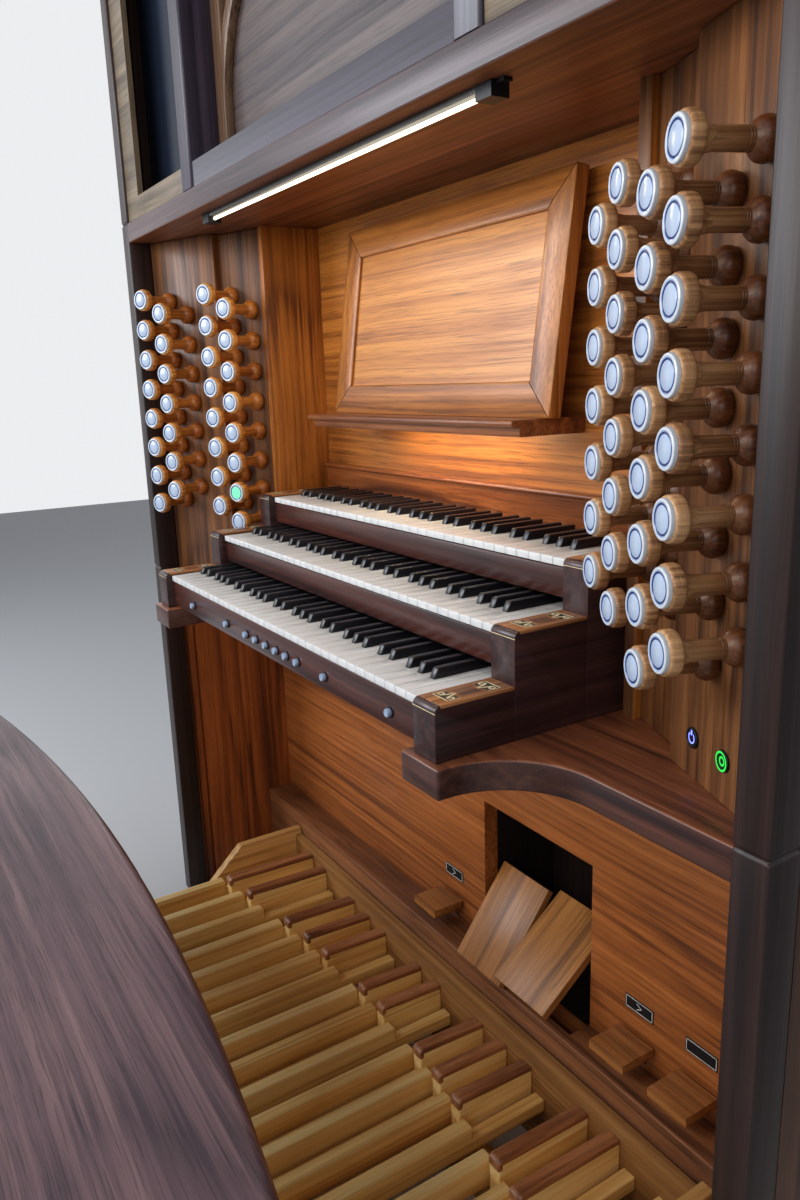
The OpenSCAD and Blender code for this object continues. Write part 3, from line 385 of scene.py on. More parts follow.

# Canopy and lamp: a thick walnut board over the keyboards with a lit tube let
# under its front in an aluminium channel, a black holder screwed on at each end.
# Painted light: the board's top and front take a blue-purple tone, a painted cool window sheen,
# and its underside a warmer orange copy of the same walnut, painted lamp light.
canopy = eased("canopy", 0.0025, timber(
    "canopy_walnut", [(92, 68, 70), (68, 49, 53), (40, 29, 34)], "X",
    lines=22, spacing=46, pores=0.4, rough=0.36, coat=0.1, shift=(0, 0.3, 0)), steps=3)
refinish(canopy, timber(
    "canopy_underside_lamplit_walnut", [(150, 88, 50), (118, 68, 39), (74, 42, 27)], "X",
    lines=22, spacing=46, pores=0.45, rough=0.40, shift=(0, 0.3, 0)),
         lambda face: face.normal.z < -0.7)


def speckled(name, low, high, fine=900, rough=0.38, metal=0.0, specular=0.5):
    """A plain finish with the faint unevenness of lacquer, anodising or moulding."""
    finish, tree, bsdf = new_finish(name)
    place = add(tree, "ShaderNodeTexCoord", {}).outputs["Object"]
    grit = add(tree, "ShaderNodeTexNoise",
               {"Vector": place, "Scale": fine, "Detail": 2.0}).outputs["Fac"]
    feed(tree, bsdf, {"Base Color": ramp(tree, grit, [(0.35, tone(*low)), (0.65, tone(*high))]),
                      "Roughness": span(tree, grit, rough - 0.05, rough + 0.07),
                      "Metallic": metal, "Specular IOR Level": specular})
    return finish


def glowing(name, body_colour, light_colour, strength):
    """A lit diffuser or ring, a touch uneven along its length."""
    finish = speckled(name, body_colour, body_colour, 300, 0.4)
    tree = finish.node_tree
    feed(tree, tree.nodes["Principled BSDF"],
         {"Emission Color": (*light_colour, 1), "Emission Strength": strength})
    return finish


def solid(name, finish, slot, verts, faces, body="console"):
    """A new piece from its corners and faces, sides turned outwards."""
    mesh = bpy.data.meshes.new(name)
    mesh.from_pydata(verts, [], faces)
    mesh.materials.append(finish)
    clean(mesh, outward=True)
    piece = put_in_scene(name, mesh)
    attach(piece, body)
    return piece


def boxes(corners):
    """Corners and faces of several plain bars, each from its two corners."""
    verts, faces = [], []
    for a, b in corners:
        k = len(verts)
        verts += [(x, y, z) for z in (a[2], b[2])
                  for x, y in ((a[0], a[1]), (b[0], a[1]), (b[0], b[1]), (a[0], b[1]))]
        faces += [(k, k + 3, k + 2, k + 1), (k + 4, k + 5, k + 6, k + 7),
                  (k, k + 1, k + 5, k + 4), (k + 1, k + 2, k + 6, k + 5),
                  (k + 2, k + 3, k + 7, k + 6), (k + 3, k, k + 4, k + 7)]
    return verts, faces


black_lacquer = speckled("black_lacquer", (14, 14, 16), (26, 26, 30), rough=0.42, specular=0.25)
eased("lamp_housing", 0.0008, speckled(
    "anodised_aluminium", (74, 72, 70), (98, 96, 92), 700, 0.40, metal=0.7))
lamp_low, lamp_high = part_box("lamp_housing")
tube_low, tube_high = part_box("lamp_tube")
rod_r, rod_sides = 0.0027, 16
rod_y, rod_z = (tube_low.y + tube_high.y) / 2, tube_high.z - rod_r
rod = []
for x in (tube_low.x, tube_high.x):
    for k in range(rod_sides):
        angle = 2 * math.pi * k / rod_sides
        rod.append((x, rod_y + rod_r * math.cos(angle), rod_z + rod_r * math.sin(angle)))
rod_faces = [(k, (k + 1) % rod_sides, rod_sides + (k + 1) % rod_sides, rod_sides + k)
             for k in range(rod_sides)]
rod_faces += [tuple(range(rod_sides)), tuple(range(2 * rod_sides - 1, rod_sides - 1, -1))]
diffuser = glowing("lamp_diffuser", (244, 238, 220), (1.0, 0.90, 0.72), 2.2)
lamp_rod = solid("lamp_rod", diffuser, "lamp_glow", rod, rod_faces)
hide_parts("lamp_tube")

# Each end: a cap that wraps the housing, and a flat holder that runs on past it.
cap_wrap, cap_long, below_board = 0.0012, 0.006, 0.0002
holder_start, holder_end, holder_in, holder_t = 0.001, 0.014, 0.005, 0.004
caps = []
for side in (-1, 1):
    x0, x1 = sorted((side * (tube_high.x - cap_long), side * (lamp_high.x + cap_wrap)))
    caps.append(((x0, lamp_low.y - cap_wrap, lamp_low.z - cap_wrap),
                 (x1, lamp_high.y + cap_wrap, lamp_high.z - below_board)))
    x0, x1 = sorted((side * (lamp_high.x + holder_start), side * (lamp_high.x + holder_end)))
    caps.append(((x0, lamp_low.y + holder_in, lamp_high.z - holder_t),
                 (x1, lamp_high.y - holder_in, lamp_high.z - below_board)))
solid("lamp_end_caps", black_lacquer, "black_metal", *boxes(caps))
soft_lamp("tube_light", (0, tube_low.y + 0.004, tube_low.z - 0.004), (0, 0.24, 1.0),
          (0.78, 0.012), 0.9, (1.0, 0.85, 0.62))

# Niche: figured walnut boards, upright at its sides and lying across its back,
# rebated together behind the keyboards.
niche_side_walnut = timber(
    "niche_side_walnut", [(202, 128, 56), (164, 97, 40), (104, 57, 25)],
    lines=17, spacing=44, wander=0.014, figure=0.16, pores=0.45, rough=0.40,
    shift=(0.0, 0.15, 0.6))
finish_node("niche_back", timber(
    "niche_back_walnut", [(206, 134, 60), (172, 104, 44), (116, 66, 30)], "X",
    lines=22, spacing=52, wander=0.010, pores=0.5, rough=0.40, shift=(0.2, 0, 0.31)))
eased("nameboard", 0.001, timber(
    "nameboard_walnut", [(176, 104, 56), (134, 74, 40), (80, 42, 25)], "X",
    lines=24, spacing=40, wander=0.02, pores=0.5, rough=0.32, coat=0.2))
under_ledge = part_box("music_ledge")[0]
soft_lamp("ledge_light", (0.0, under_ledge.y + 0.05, under_ledge.z - 0.004), (0.0, 0.40, 1.02),
          (0.34, 0.01), 0.55, (1.0, 0.78, 0.48))

# Stop jambs: upright walnut boards turned towards the player, each with a
# raised outer panel, screwed between the niche and the front posts.
jamb_walnut = timber("jamb_walnut", [(146, 97, 58), (112, 71, 42), (66, 41, 27)],
                     lines=24, spacing=46, wander=0.010, pores=0.5, figure=0.12,
                     rough=0.40, shift=(0.3, 0.2, 0))
eased("stop_jambs", 0.002, jamb_walnut)
niche_sides = eased("niche_sides", 0.0008, niche_side_walnut)
# Painted shade: the right niche side's front edge takes the darker jamb walnut, where it stands
# in shadow behind the cheeks; the left edge keeps its golden colour.
refinish(niche_sides, jamb_walnut, lambda face: face.normal.y < -0.5 and face.center.x > 0)


# Repeated turnings: one turned shape stands on every point of a small mesh, so
# that knobs, face plates, pistons and buttons all follow the drilled places.
turned_weld, crisp_turning = 1e-6, 35


def turned(name, profile, sides=24):
    """A shape turned about Z from pairs of a radius and a height in millimetres,
    with its own places kept for the grain."""
    mesh = bpy.data.meshes.new(name)
    verts, faces = [], []
    for r, h in profile:
        r, h = r * mm, h * mm
        for k in range(sides):
            angle = 2 * math.pi * k / sides
            verts.append((r * math.cos(angle), r * math.sin(angle), h))
    for j in range(len(profile) - 1):
        for k in range(sides):
            m = (k + 1) % sides
            faces.append((j * sides + k, j * sides + m, (j + 1) * sides + m, (j + 1) * sides + k))
    mesh.from_pydata(verts, [], faces)
    clean(mesh, weld=turned_weld, outward=True)
    kept = mesh.attributes.new("local", "FLOAT_VECTOR", "POINT")
    for v in mesh.vertices:
        kept.data[v.index].vector = v.co
    smooth(mesh, crisp_turning)
    return bpy.data.objects.new(name, mesh)


repeat = bpy.data.node_groups.new("turned_repeats", "GeometryNodeTree")


def repeat_socket(name, kind, way="INPUT"):
    """A named input or output of the repeating rule."""
    return repeat.interface.new_socket(name, in_out=way, socket_type="NodeSocket" + kind)


repeat_socket("Geometry", "Geometry")
shape_in = repeat_socket("Turned shape", "Object")
size_in = repeat_socket("Size", "Float")
finish_in = repeat_socket("Finish", "Material")
repeat_socket("Geometry", "Geometry", "OUTPUT")
given = add(repeat, "NodeGroupInput", {}).outputs
shape = add(repeat, "GeometryNodeObjectInfo", {"Object": given["Turned shape"]})
points_to = add(repeat, "GeometryNodeInputNamedAttribute", {"Name": "turn"},
                data_type="FLOAT_VECTOR")
turning = add(repeat, "FunctionNodeEulerToRotation", {0: points_to.outputs["Attribute"]})
stand = add(repeat, "GeometryNodeInstanceOnPoints",
            {"Points": given["Geometry"], "Instance": shape.outputs["Geometry"],
             "Rotation": turning.outputs[0], "Scale": given["Size"]})
real = add(repeat, "GeometryNodeRealizeInstances", {0: stand.outputs[0]})
painted = add(repeat, "GeometryNodeSetMaterial",
              {"Geometry": real.outputs[0], "Material": given["Finish"]})
add(repeat, "NodeGroupOutput", {"Geometry": painted.outputs[0]})


def solids_of(name):
    """The corner points of each separate solid of a carried-over node."""
    mesh = nodes[name].data.copy()
    clean(mesh, weld=cad_weld)
    groups = [[mesh.vertices[k].co.copy() for k in corners] for corners in islands(mesh)]
    bpy.data.meshes.remove(mesh)
    return groups


def drilled_places(name, way):
    """Where each solid of a node starts, and the way it points, which way gives
    from a solid's middle."""
    places = []
    for points in solids_of(name):
        middle = sum(points, Vector()) / len(points)
        points_to = way(middle)
        start = min(p.dot(points_to) for p in points) - middle.dot(points_to)
        places.append((middle + points_to * start, points_to))
    return sorted(places, key=lambda p: (round(p[0].x, 3), round(p[0].z, 3)))


def stand_on(name, source, places, finish, replaced=(), size=1.0, body="console", seed=4):
    """A turned shape on every place, made real as one mesh."""
    spots = bpy.data.meshes.new(name)
    spots.from_pydata([p for p, _ in places], [], [])
    spots.attributes.new("turn", "FLOAT_VECTOR", "POINT")
    spots.attributes.new("shade", "FLOAT", "POINT")
    rng = random.Random(seed)
    for k, (_, points_to) in enumerate(places):
        spots.attributes["turn"].data[k].vector = points_to.to_track_quat("Z", "X").to_euler()
        spots.attributes["shade"].data[k].value = rng.random()
    piece = put_in_scene(name, spots)
    scene.collection.objects.link(source)
    rule = piece.modifiers.new("repeat", "NODES")
    rule.node_group = repeat
    rule[shape_in.identifier] = source
    rule[size_in.identifier] = size
    rule[finish_in.identifier] = finish
    deps = bpy.context.evaluated_depsgraph_get()
    plain = bpy.data.meshes.new_from_object(piece.evaluated_get(deps))
    piece.modifiers.clear()
    piece.data = plain
    scene.collection.objects.unlink(source)
    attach(piece, body)
    if replaced:
        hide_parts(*replaced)
    return piece


# Draw-knobs: turned walnut with a bulb at the jamb, two scribed rings, a long
# shank and a head, and a glazed face plate let into each head.
jamb_turn = math.radians(22.5)


def off_jamb(middle):
    """The way that a knob or button points, straight out of its jamb."""
    return Vector((-math.copysign(math.sin(jamb_turn), middle.x), -math.cos(jamb_turn), 0))


plate_back = 80 * mm
plate_r = 18.8
foot = [(0, 0)]
bulb = [(15.3, 0), (17.4, 3), (18.2, 6), (18.3, 8), (17.9, 11), (16.6, 14), (14.2, 17),
        (11.0, 19.3), (10.0, 20.4)]
shank = [(10.0, 22), (9.4, 22.5), (10.0, 23), (10.0, 24.6), (9.4, 25.1), (10.0, 25.6),
         (9.8, 40), (10.0, 53), (10.9, 57.5), (12.3, 62), (13.6, 65.4), (14.4, 66)]
head = [(18.0, 66.0), (19.9, 66.5), (21.0, 67.6), (21.5, 69.5), (21.5, 72.6), (21.25, 72.9),
        (21.5, 73.2), (21.5, 76.6), (21.0, 78.4), (20.2, 79.5), (18.9, 80), (0, 80)]
plate = [(plate_r, 0), (plate_r, 2.3), (18.3, 3.4), (17.2, 4.0), (16.2, 4.0), (14.2, 3.55),
         (13.7, 3.1), (13.2, 3.4), (0, 3.4)]
knob_shape = turned("turned_knob", foot + bulb + shank + head, 26)
plate_shape = turned("turned_plate", plate, 26)
knob_places = [(p - d * plate_back, d) for p, d in drilled_places("knob_faces", off_jamb)]
# Painted light and shade: the bass knobs take a golden copy of the knob wood, painted warm lamp
# light, the treble knobs a fawn copy; each darkens towards its foot as painted shade, far more on
# the treble side.
golden = timber("golden_knob_wood", [(244, 176, 92), (214, 142, 64), (158, 94, 40)],
                lines=10, spacing=120, wander=0.002, pores=0.35, rough=0.34, coat=0.25,
                follow="local", vary=0.16, painted_foot_shade=(0.62, 0.46, 0.34))
fawn = timber("fawn_knob_wood", [(214, 168, 122), (182, 134, 90), (126, 84, 54)],
              lines=10, spacing=120, wander=0.002, pores=0.4, rough=0.36, coat=0.2,
              follow="local", vary=0.12, painted_foot_shade=(0.26, 0.15, 0.10))
left_knobs = [p for p in knob_places if p[0].x < 0]
right_knobs = [p for p in knob_places if p[0].x > 0]
stand_on("left_draw_knobs", knob_shape, left_knobs, golden, seed=7)
stand_on("right_draw_knobs", knob_shape, right_knobs, fawn, ["stop_knobs"], seed=8)

glaze, tree, bsdf = new_finish("glazed_plate")
own_place = add(tree, "ShaderNodeAttribute", {}, attribute_name="local").outputs["Vector"]
flat = add(tree, "ShaderNodeVectorMath", {0: own_place, 1: (1, 1, 0)}, operation="MULTIPLY")
radius = add(tree, "ShaderNodeVectorMath", {0: flat.outputs[0]}, operation="LENGTH")
share = add(tree, "ShaderNodeMath", {0: radius.outputs["Value"], 1: plate_r * mm},
            operation="DIVIDE")
ring_blue = tone(30, 52, 112)
feed(tree, bsdf, {"Roughness": 0.2, "Base Color": ramp(tree, share.outputs[0], [
    (0.0, tone(192, 208, 230)), (0.64, tone(178, 198, 228)), (0.675, ring_blue),
    (0.755, ring_blue), (0.79, tone(150, 178, 220)), (0.90, tone(222, 227, 234)),
    (1.0, tone(190, 198, 208))])})
plate_places = [(p + d * plate_back, d) for p, d in knob_places]
stand_on("face_plates", plate_shape, plate_places, glaze, ["knob_faces"])


def ring_of(name, place, points_to, out, r0, r1, finish, gap=0.0, sides=36):
    """A thin flat lit ring that lies on a turned face, open at its top by a gap in turns."""
    across = Vector((0, 0, 1)).cross(points_to).normalized()
    n = int(sides * (1 - gap)) + 1
    verts = []
    for r in (r0, r1):
        for k in range(n):
            angle = 2 * math.pi * (gap / 2 + (1 - gap) * k / (n - 1))
            verts.append(place + points_to * out + across * (r * math.sin(angle))
                         + Vector((0, 0, r * math.cos(angle))))
    faces = [(k, k + 1, n + k + 1, n + k) for k in range(n - 1)]
    piece = solid(name, finish, "lamp_glow", verts, faces)
    if piece.data.polygons[0].normal.dot(points_to) < 0:
        piece.data.flip_normals()


# The stop that is drawn shows a mint light on its plate: the seventh from the
# top in the fourth column of the bass jamb.
drawn_column, drawn_row = 3, 6
signal_out, signal_r = 0.08355, 0.0124
mint_glow = glowing("mint_signal", (110, 200, 160), (0.16, 1.0, 0.50), 0.55)
columns = sorted({round(p[0].x, 3) for p in left_knobs})
in_column = [p for p in left_knobs if round(p[0].x, 3) == columns[drawn_column]]
drawn = sorted(in_column, key=lambda p: -p[0].z)[drawn_row]
ring_of("drawn_stop_signal", *drawn, signal_out, 0.0, signal_r, mint_glow)

# Push buttons at the foot of the treble jamb: black dishes with a lit ring, the
# first with a short bar at its top.
dish_shape = turned("turned_dish", [(11, 0), (11, 2), (10.5, 2.7), (9.6, 3), (8.6, 2.8),
                                    (8.0, 2.1), (0, 1.9)], 32)
button_places = drilled_places("power_buttons", off_jamb)
stand_on("button_dishes", dish_shape, button_places, black_lacquer,
         ["power_buttons"])
blue_glow = glowing("blue_signal", (60, 70, 220), (0.16, 0.20, 1.0), 3.2)
green_glow = glowing("green_signal", (20, 110, 40), (0.03, 1.0, 0.10), 0.9)
dish_floor, dish_rim = 0.0023, 0.0032
first, second = sorted(button_places, key=lambda p: p[0].x)
ring_of("first_signal", *first, dish_floor, 0.0047, 0.0062, blue_glow, gap=0.2)
bar = first[0] + first[1] * dish_floor
bar_ends = (bar + Vector((-0.0007, -0.0003, 0.0030)), bar + Vector((0.0007, 0.0001, 0.0086)))
solid("first_signal_bar", blue_glow, "lamp_glow", *boxes([bar_ends]))
ring_of("second_signal", *second, dish_rim, 0.0081, 0.0101, green_glow)
ring_of("second_signal_inner", *second, dish_floor, 0.0030, 0.0050, green_glow)

# Music desk: four mitred walnut bars, with the grain along each, glued round a
# sunk veneered panel and leaning on a narrow ledge with a cleat below it.
desk_wood = dict(tones=[(188, 122, 60), (154, 95, 44), (104, 60, 28)], lines=22, spacing=46,
                 pores=0.45, rough=0.34, coat=0.15)
desk_across = timber("desk_frame_across", grain="X", shift=(0.1, 0, 0.2), **desk_wood)
desk_up = timber("desk_frame_upright", grain="Z", shift=(0.35, 0, 0.1), **desk_wood)
finish_node("desk_panel", timber(
    "desk_panel_walnut", [(206, 141, 68), (178, 113, 50), (134, 79, 34)], "X",
    lines=22, spacing=58, wander=0.008, pores=0.45, rough=0.34, coat=0.15,
    shift=(0.6, 0, 0.05)))
frame_low, frame_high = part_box("desk_frame")
desk_foot = Vector((0, frame_low.y, frame_low.z))
desk_lean = math.radians(8.2)
desk_half, desk_tall, desk_bar, mitre_gap = frame_high.x, 0.324, 0.050, 0.0010
crisp_mitre = 30
# A bar's section: how far in from its outer edge, as a share of its width, and
# how deep behind its face, with both front edges eased and a rebate inside.
bar_section = [(0.0, 0.0022), (0.0008 / desk_bar, 0.0007), (0.0024 / desk_bar, 0.0),
               (0.9, 0.0), (0.965, 0.0006), (1.0, 0.0020), (1.0, 0.0064), (0.84, 0.0064),
               (0.84, 0.014), (0.0, 0.021)]


def mitred_bar(name, outer_a, outer_b, inner_a, inner_b, finish, replaced=()):
    """A bar between two mitres, from the outer and inner corner of each, (x, up the desk)."""
    verts = []
    for outer, inner in ((outer_a, inner_a), (outer_b, inner_b)):
        for inward, deep in bar_section:
            x = outer[0] + (inner[0] - outer[0]) * inward
            up = outer[1] + (inner[1] - outer[1]) * inward
            back = deep * math.cos(desk_lean) + up * math.sin(desk_lean)
            rise = max(0.0, up * math.cos(desk_lean) - deep * math.sin(desk_lean))
            verts.append(desk_foot + Vector((x, back, rise)))
    n = len(bar_section)
    faces = [tuple(range(n)), tuple(range(2 * n - 1, n - 1, -1))]
    faces += [(k, (k + 1) % n, n + (k + 1) % n, n + k) for k in range(n)]
    bar_piece = solid(name, finish, "walnut", verts, faces)
    smooth(bar_piece.data, crisp_mitre)
    if replaced:
        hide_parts(*replaced)


out_x, out_top, gap = desk_half, desk_tall, mitre_gap
in_x, in_top, in_foot = desk_half - desk_bar, desk_tall - desk_bar, desk_bar
mitred_bar("desk_bar_top", (-out_x + gap, out_top), (out_x - gap, out_top),
           (-in_x + gap, in_top), (in_x - gap, in_top), desk_across, ["desk_frame"])
mitred_bar("desk_bar_foot", (-out_x + gap, 0), (out_x - gap, 0),
           (-in_x + gap, in_foot), (in_x - gap, in_foot), desk_across)
for name, side in (("desk_bar_left", -1), ("desk_bar_right", 1)):
    mitred_bar(name, (side * out_x, gap), (side * out_x, out_top - gap),
               (side * in_x, in_foot + gap), (side * in_x, in_top - gap), desk_up)
eased("music_ledge", 0.0012, timber(
    "ledge_walnut", [(166, 104, 62), (132, 78, 46), (86, 48, 30)], "X",
    lines=22, spacing=44, pores=0.45, rough=0.34, coat=0.15))

# Key table, cheeks and rails: solid dark walnut, the table sawn to hollows
# beside its arms, the cheeks with a quarter-round along the front.
key_table = eased("key_table", 0.003, timber(
    "table_walnut", [(156, 94, 62), (118, 68, 46), (66, 38, 30)], "X",
    lines=30, spacing=30, wander=0.03, pores=0.45, rough=0.32, coat=0.2,
    shift=(0.1, 0.5, 0)), steps=3)
# Painted shade: the table's upright edges and apron take a darker copy of its walnut.
refinish(key_table, timber(
    "table_edge_shaded_walnut", [(102, 64, 52), (76, 47, 40), (44, 27, 27)], "X",
    lines=22, spacing=40, pores=0.4, rough=0.32, coat=0.2, shift=(0.1, 0.5, 0)),
         lambda face: abs(face.normal.z) < 0.6)
eased("key_cheeks", 0.0012, timber(
    "cheek_walnut", [(80, 52, 50), (60, 38, 38), (34, 22, 25)], "Y",
    lines=18, spacing=44, pores=0.3, rough=0.32, coat=0.2))
slip_walnut = timber("slip_walnut", [(92, 48, 36), (68, 34, 28), (38, 19, 18)], "X",
                     lines=20, spacing=44, pores=0.3, rough=0.28, coat=0.25)
eased("key_slip", 0.001, slip_walnut)
eased("key_rails", 0.001, slip_walnut)
finish_node("key_beds", timber(
    "key_bed_board", [(150, 104, 66), (120, 80, 50), (80, 52, 34)], "X", lines=18, rough=0.5))

# Inlay: each cheek's top board carries a cream line, a black field with two
# curling leaves at both ends and a darker board between them, all flush veneer.
eased("cheek_tops", 0.0006, timber(
    "cheek_top_walnut", [(196, 138, 92), (168, 112, 70), (122, 76, 46)], "Y",
    lines=18, spacing=60, wander=0.006, pores=0.4, rough=0.34, coat=0.15))
cream_veneer = speckled("cream_veneer", (224, 208, 160), (240, 226, 184), 500, 0.36)
black_veneer = speckled("black_veneer", (26, 22, 22), (44, 38, 36), 500, 0.36)
brown_veneer = timber("brown_veneer", [(146, 94, 60), (116, 72, 46), (78, 46, 32)], "Y",
                      lines=18, spacing=60, pores=0.4, rough=0.34)
tops = solids_of("cheek_tops")
cream, black, brown = ([], []), ([], []), ([], [])


def corners_of(points):
    """The lowest and highest corner of a box round some points."""
    return (Vector([min(p[a] for p in points) for a in range(3)]),
            Vector([max(p[a] for p in points) for a in range(3)]))


def leaf_line(points, width, height, into, place):
    """A flat ribbon along a line of (along, across) points, widest in its middle."""
    verts, faces = into
    k = len(verts)
    for j, (u, v) in enumerate(points):
        a, b = points[max(j - 1, 0)], points[min(j + 1, len(points) - 1)]
        du, dv = b[0] - a[0], b[1] - a[1]
        size = math.hypot(du, dv) or 1.0
        w = width * (0.55 + 0.45 * math.sin(math.pi * (j + 0.5) / len(points))) / 2
        for s in (-1, 1):
            verts.append(place(u - s * dv / size * w, v + s * du / size * w, height))
    faces += [(k + 2 * j, k + 2 * j + 1, k + 2 * j + 3, k + 2 * j + 2)
              for j in range(len(points) - 1)]


def veneer_field(u0, u1, v0, v1, height, into, place):
    """A flat oblong between two places along and two across."""
    verts, faces = into
    k = len(verts)
    verts += [place(u, v, height) for u, v in ((u0, v0), (u1, v0), (u1, v1), (u0, v1))]
    faces.append((k, k + 1, k + 2, k + 3))


# The inlaid length of a top and its margins, the half widths of the three
# veneers, and how far each lies over the one below, so that none flickers.
inlay_long, inlay_margin = 0.102, 0.014
line_half, black_half, brown_half = 0.0152, 0.0140, 0.0105
black_lift, brown_lift, line_lift, curl_lift, stem_lift = (
    0.00014, 0.00016, 0.00024, 0.00028, 0.00032)


def face_towards(piece, direction):
    """Turns over the faces of a piece that look away from a direction."""
    for face in piece.data.polygons:
        if face.normal.dot(direction) < 0:
            face.flip()


def on_top(low, high, start, way):
    """Turns (along from a start, across, up) into a point on a cheek's top board."""
    middle_x = (low.x + high.x) / 2
    return lambda u, v, h: (middle_x + v, start + way * u, high.z + h)


for points in tops:
    low, high = corners_of(points)
    front = on_top(low, high, low.y + inlay_margin, 1)
    rear = on_top(low, high, min(high.y, low.y + inlay_long) - inlay_margin, -1)
    for place in (front, rear):
        veneer_field(-0.0004, 0.0016, -line_half, line_half, line_lift, cream, place)
        veneer_field(0.0016, 0.0170, -black_half, black_half, black_lift, black, place)
        for s in (-1, 1):
            curl = [(0.0082 + 0.0038 * math.sin(t), s * (0.0096 + 0.0028 * math.cos(t)))
                    for t in [x * 0.45 for x in range(-3, 10)]]
            stem = [(0.0046, s * 0.0090), (0.0052, s * 0.0062), (0.0100, s * 0.0040),
                    (0.0155, s * 0.0024), (0.0225, 0.0)]
            leaf_line(curl, 0.0027, curl_lift, cream, place)
            leaf_line(stem, 0.0030, stem_lift, cream, place)
            veneer_field(0.0, 0.0180, s * black_half, s * line_half, line_lift, cream, place)
    middle_y = low.y + min(inlay_long, high.y - low.y) / 2
    veneer_field(middle_y - 0.0135, middle_y + 0.0135, -brown_half, brown_half, brown_lift,
                 brown, on_top(low, high, 0.0, 1))
for name, shapes, finish in (("inlay_cream", cream, cream_veneer),
                             ("inlay_black", black, black_veneer),
                             ("inlay_brown", brown, brown_veneer)):
    face_towards(solid(name, finish, "walnut_light", *shapes), Vector((0, 0, 1)))
nose_lines = []
for points in tops:
    low, high = corners_of(points)
    nose_lines.append(((low.x, low.y - 0.0082, high.z - 0.0090),
                       (high.x, low.y - 0.0076, high.z - 0.0082)))
solid("cheek_nose_lines", cream_veneer, "walnut_light", *boxes(nose_lines))

# Keys: naturals with a pale plastic covering and black sharps, each a lever
# that lies on its bed.
covering, tree, bsdf = new_finish("key_covering")
place = add(tree, "ShaderNodeTexCoord", {}).outputs["Object"]
lay = add(tree, "ShaderNodeMapping", {"Vector": place, "Scale": (42.0, 5.0, 42.0)})
cloud = add(tree, "ShaderNodeTexNoise",
            {"Vector": lay.outputs[0], "Scale": 1.0, "Detail": 3.0}).outputs["Fac"]
feed(tree, bsdf, {"Base Color": ramp(tree, cloud, [(0.3, tone(218, 220, 222)),
                                                   (0.7, tone(232, 234, 236))]),
                  "Roughness": span(tree, cloud, 0.24, 0.36),
                  "Coat Weight": 0.3, "Coat Roughness": 0.1})
eased("natural_keys", 0.0008, covering)
eased("sharp_keys", 0.0013, timber(
    "ebony", [(28, 28, 36), (20, 20, 26), (12, 12, 16)], "Y",
    lines=12, spacing=60, pores=0.25, rough=0.28, coat=0.15))

# Thumb pistons, shaft and brackets: turned metal let into the key slip and the
# lower front, each piston with a black rim.
steel = speckled("turned_steel", (146, 168, 202), (182, 202, 230), 1400, 0.30, metal=0.35)
piston_places = drilled_places("thumb_pistons", lambda middle: Vector((0, -1, 0)))
rim_shape = turned("turned_rim", [(7.0, 0), (7.0, 1.2), (6.6, 1.9), (5.9, 2.0), (5.5, 1.6),
                                  (5.5, 0)])
piston_shape = turned("turned_piston", [(5.2, 0), (5.2, 6.2), (4.8, 6.9), (4.2, 7.0),
                                        (3.6, 6.8), (0, 6.7)])
stand_on("piston_rims", rim_shape, piston_places, black_lacquer,
         ["thumb_pistons"])
stand_on("pistons", piston_shape, piston_places, steel)
finish_node("swell_shaft", steel)
finish_node("toe_brackets", black_lacquer)

# Lower front: the veneered knee panel, the toe board and the dark swell box
# with its two walnut treads, the three toe pedals and their bare plates.
eased("knee_panel", 0.001, timber(
    "knee_walnut", [(184, 110, 56), (152, 86, 42), (102, 55, 29)], "X",
    lines=22, spacing=56, wander=0.008, pores=0.5, rough=0.40, shift=(0, 0.1, 0.4)))
eased("toe_board", 0.0015, timber(
    "toe_board_walnut", [(150, 96, 60), (116, 72, 46), (68, 43, 31)], "X",
    lines=26, spacing=36, wander=0.02, pores=0.45, rough=0.36, coat=0.1,
    shift=(0.5, 0, 0.1)))
finish_node("swell_box", timber(
    "swell_box_board", [(44, 30, 26), (32, 22, 20), (20, 14, 13)],
    lines=14, pores=0.2, rough=0.5))
tread_tones = [(184, 125, 68), (154, 101, 52), (116, 73, 38)]
for side, slope, shift in (("left", 52.6, (0.1, 0.2, 0.3)), ("right", 36.4, (0.7, 0.5, 0.1))):
    tread_walnut = timber("tread_walnut_" + side, tread_tones, "Y", lines=26, spacing=46,
                          wander=0.012, pores=0.5, figure=0.05, rough=0.38, coat=0.1,
                          shift=shift, turn=(math.radians(-slope), 0, 0))
    eased("swell_pedal_" + side, 0.0018, tread_walnut, body="swell_pedal_" + side)
toe_walnut = timber("toe_pedal_walnut", [(172, 113, 60), (142, 89, 46), (100, 61, 33)], "X",
                    lines=22, spacing=46, figure=0.05, pores=0.5, rough=0.36, coat=0.1)
for toe in ("toe_pedal_left", "toe_pedal_middle", "toe_pedal_right"):
    eased(toe, 0.002, toe_walnut, steps=3, body=toe)

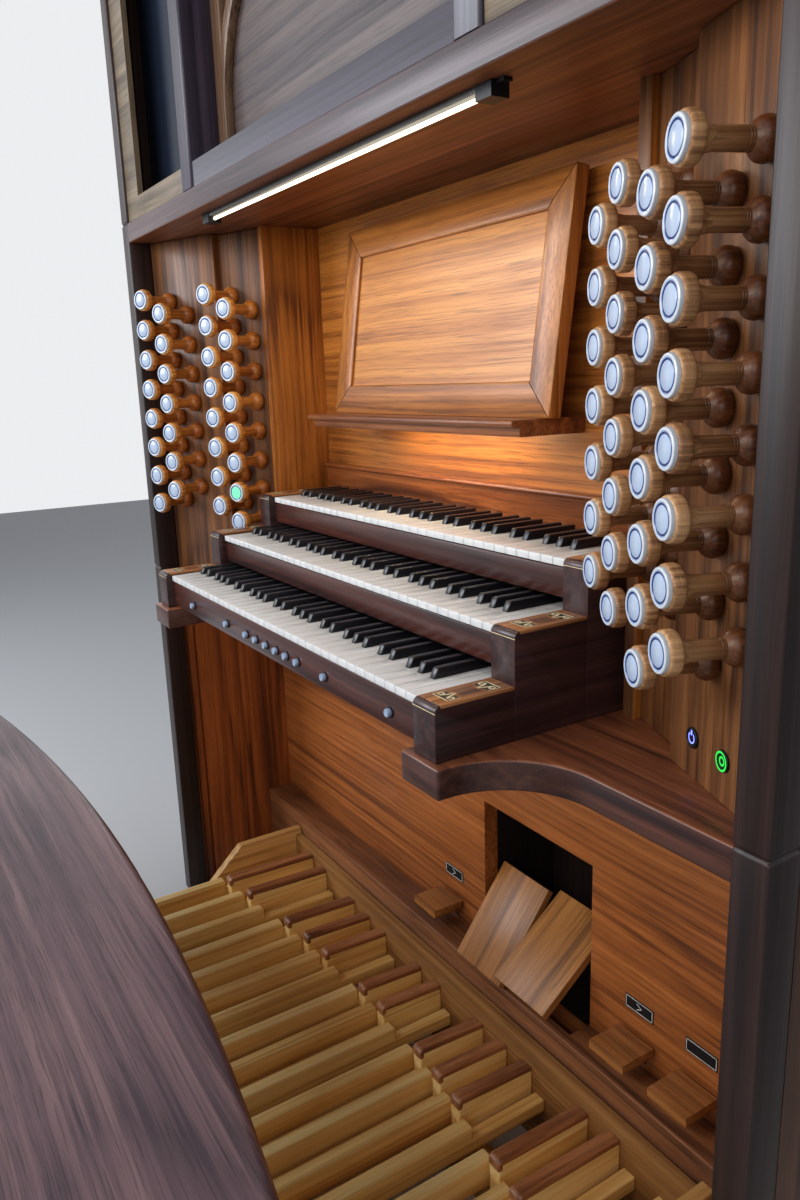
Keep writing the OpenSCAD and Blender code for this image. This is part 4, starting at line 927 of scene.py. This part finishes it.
# Each plate has a thin pale border all round, a painted highlight of its edges, and the first two
# a plain arrow mark.
eased("label_plates", 0.0003, black_lacquer)
white_line = speckled("white_line", (206, 206, 200), (226, 226, 220), 700, 0.4)
plate_face, plate_sunk, inset, wide = 0.00025, 0.0001, 0.0016, 0.0009
arrow = [(-0.0045, 0.0052), (0.0045, 0.0), (-0.0045, -0.0052)]
edge_highlight_bars, arrows = [], ([], [])
plates = sorted(solids_of("label_plates"), key=lambda group: group[0].x)
for number, points in enumerate(plates):
    low, high = corners_of(points)
    y0, y1 = low.y - plate_face, low.y + plate_sunk
    left, right = low.x + inset, high.x - inset
    foot_z, top_z = low.z + inset, high.z - inset
    for x0, x1, z0, z1 in ((left, right, foot_z, foot_z + wide),
                           (left, right, top_z - wide, top_z),
                           (left, left + wide, foot_z, top_z),
                           (right - wide, right, foot_z, top_z)):
        edge_highlight_bars.append(((x0, y0, z0), (x1, y1, z1)))
    if number < 2:
        centre = (low + high) / 2
        leaf_line(arrow, 0.0019, 0.0, arrows,
                  lambda u, v, h, c=centre, y=y0: (c.x + u, y, c.z + v))
solid("plate_borders", white_line, "porcelain", *boxes(edge_highlight_bars))
face_towards(solid("plate_arrows", white_line, "porcelain", *arrows), Vector((0, -1, 0)))

# Pedalboard: oiled oak levers in an oak frame, the sharps capped with walnut,
# every stick cut from its own length of board.
rail_front_y, frame_inside_x = 0.29, 0.597
oak = timber("oak_sticks", [(255, 222, 152), (248, 204, 126), (220, 166, 92)], "Y",
             lines=20, spacing=56, wander=0.006, pores=0.16, rough=0.36, vary=0.16)
frame_wood = dict(lines=22, spacing=50, wander=0.008)
pedal_frame = eased("pedal_frame", 0.002, timber(
    "oak_rail", [(214, 162, 98), (186, 134, 76), (146, 98, 52)], "X",
    pores=0.25, rough=0.40, **frame_wood))
# Painted shade: the back rail between the frame ends takes a darker copy of the oak.
refinish(pedal_frame, timber(
    "rail_shaded_oak", [(168, 120, 70), (138, 94, 52), (98, 64, 36)], "X",
    pores=0.3, rough=0.36, coat=0.1, **frame_wood),
         lambda face: face.center.y > rail_front_y and abs(face.center.x) < frame_inside_x)
# Painted light: the frame ends take a paler, more golden copy of the oak.
refinish(pedal_frame, timber(
    "frame_end_lit_oak", [(232, 184, 114), (206, 156, 92), (162, 114, 62)], "Y",
    pores=0.2, rough=0.38, **frame_wood),
         lambda face: abs(face.center.x) > frame_inside_x)
eased("natural_pedals", 0.0025, oak, steps=3)
eased("sharp_pedals", 0.0015, oak)
eased("sharp_caps", 0.0022, timber(
    "cap_walnut", [(192, 128, 82), (156, 98, 61), (102, 61, 41)], "Y",
    lines=22, spacing=50, wander=0.008, pores=0.45, rough=0.32, coat=0.2, vary=0.14), steps=3)

# Bench: a bowed walnut seat, oiled darker than the case, on two arched end
# boards with a stretcher between them, loose on the floor. The seat's top has a
# blue-purple tint, a painted cool window sheen, and its edges a warmer copy of the walnut.
seat = eased("bench_seat", 0.0, timber(
    "seat_walnut", [(134, 106, 110), (101, 79, 86), (63, 49, 58)], "X",
    lines=15, spacing=44, wander=0.014, pores=0.5, figure=0.11, rough=0.38, coat=0.1,
    shift=(0, 0.35, 0.2)))
refinish(seat, timber(
    "seat_edge_walnut", [(148, 102, 84), (114, 76, 64), (70, 45, 41)], "X",
    lines=18, spacing=44, pores=0.4, rough=0.36, coat=0.1, shift=(0, 0.35, 0.2)),
         lambda face: abs(face.normal.z) < 0.75)
eased("bench_frame", 0.002, dark_up)
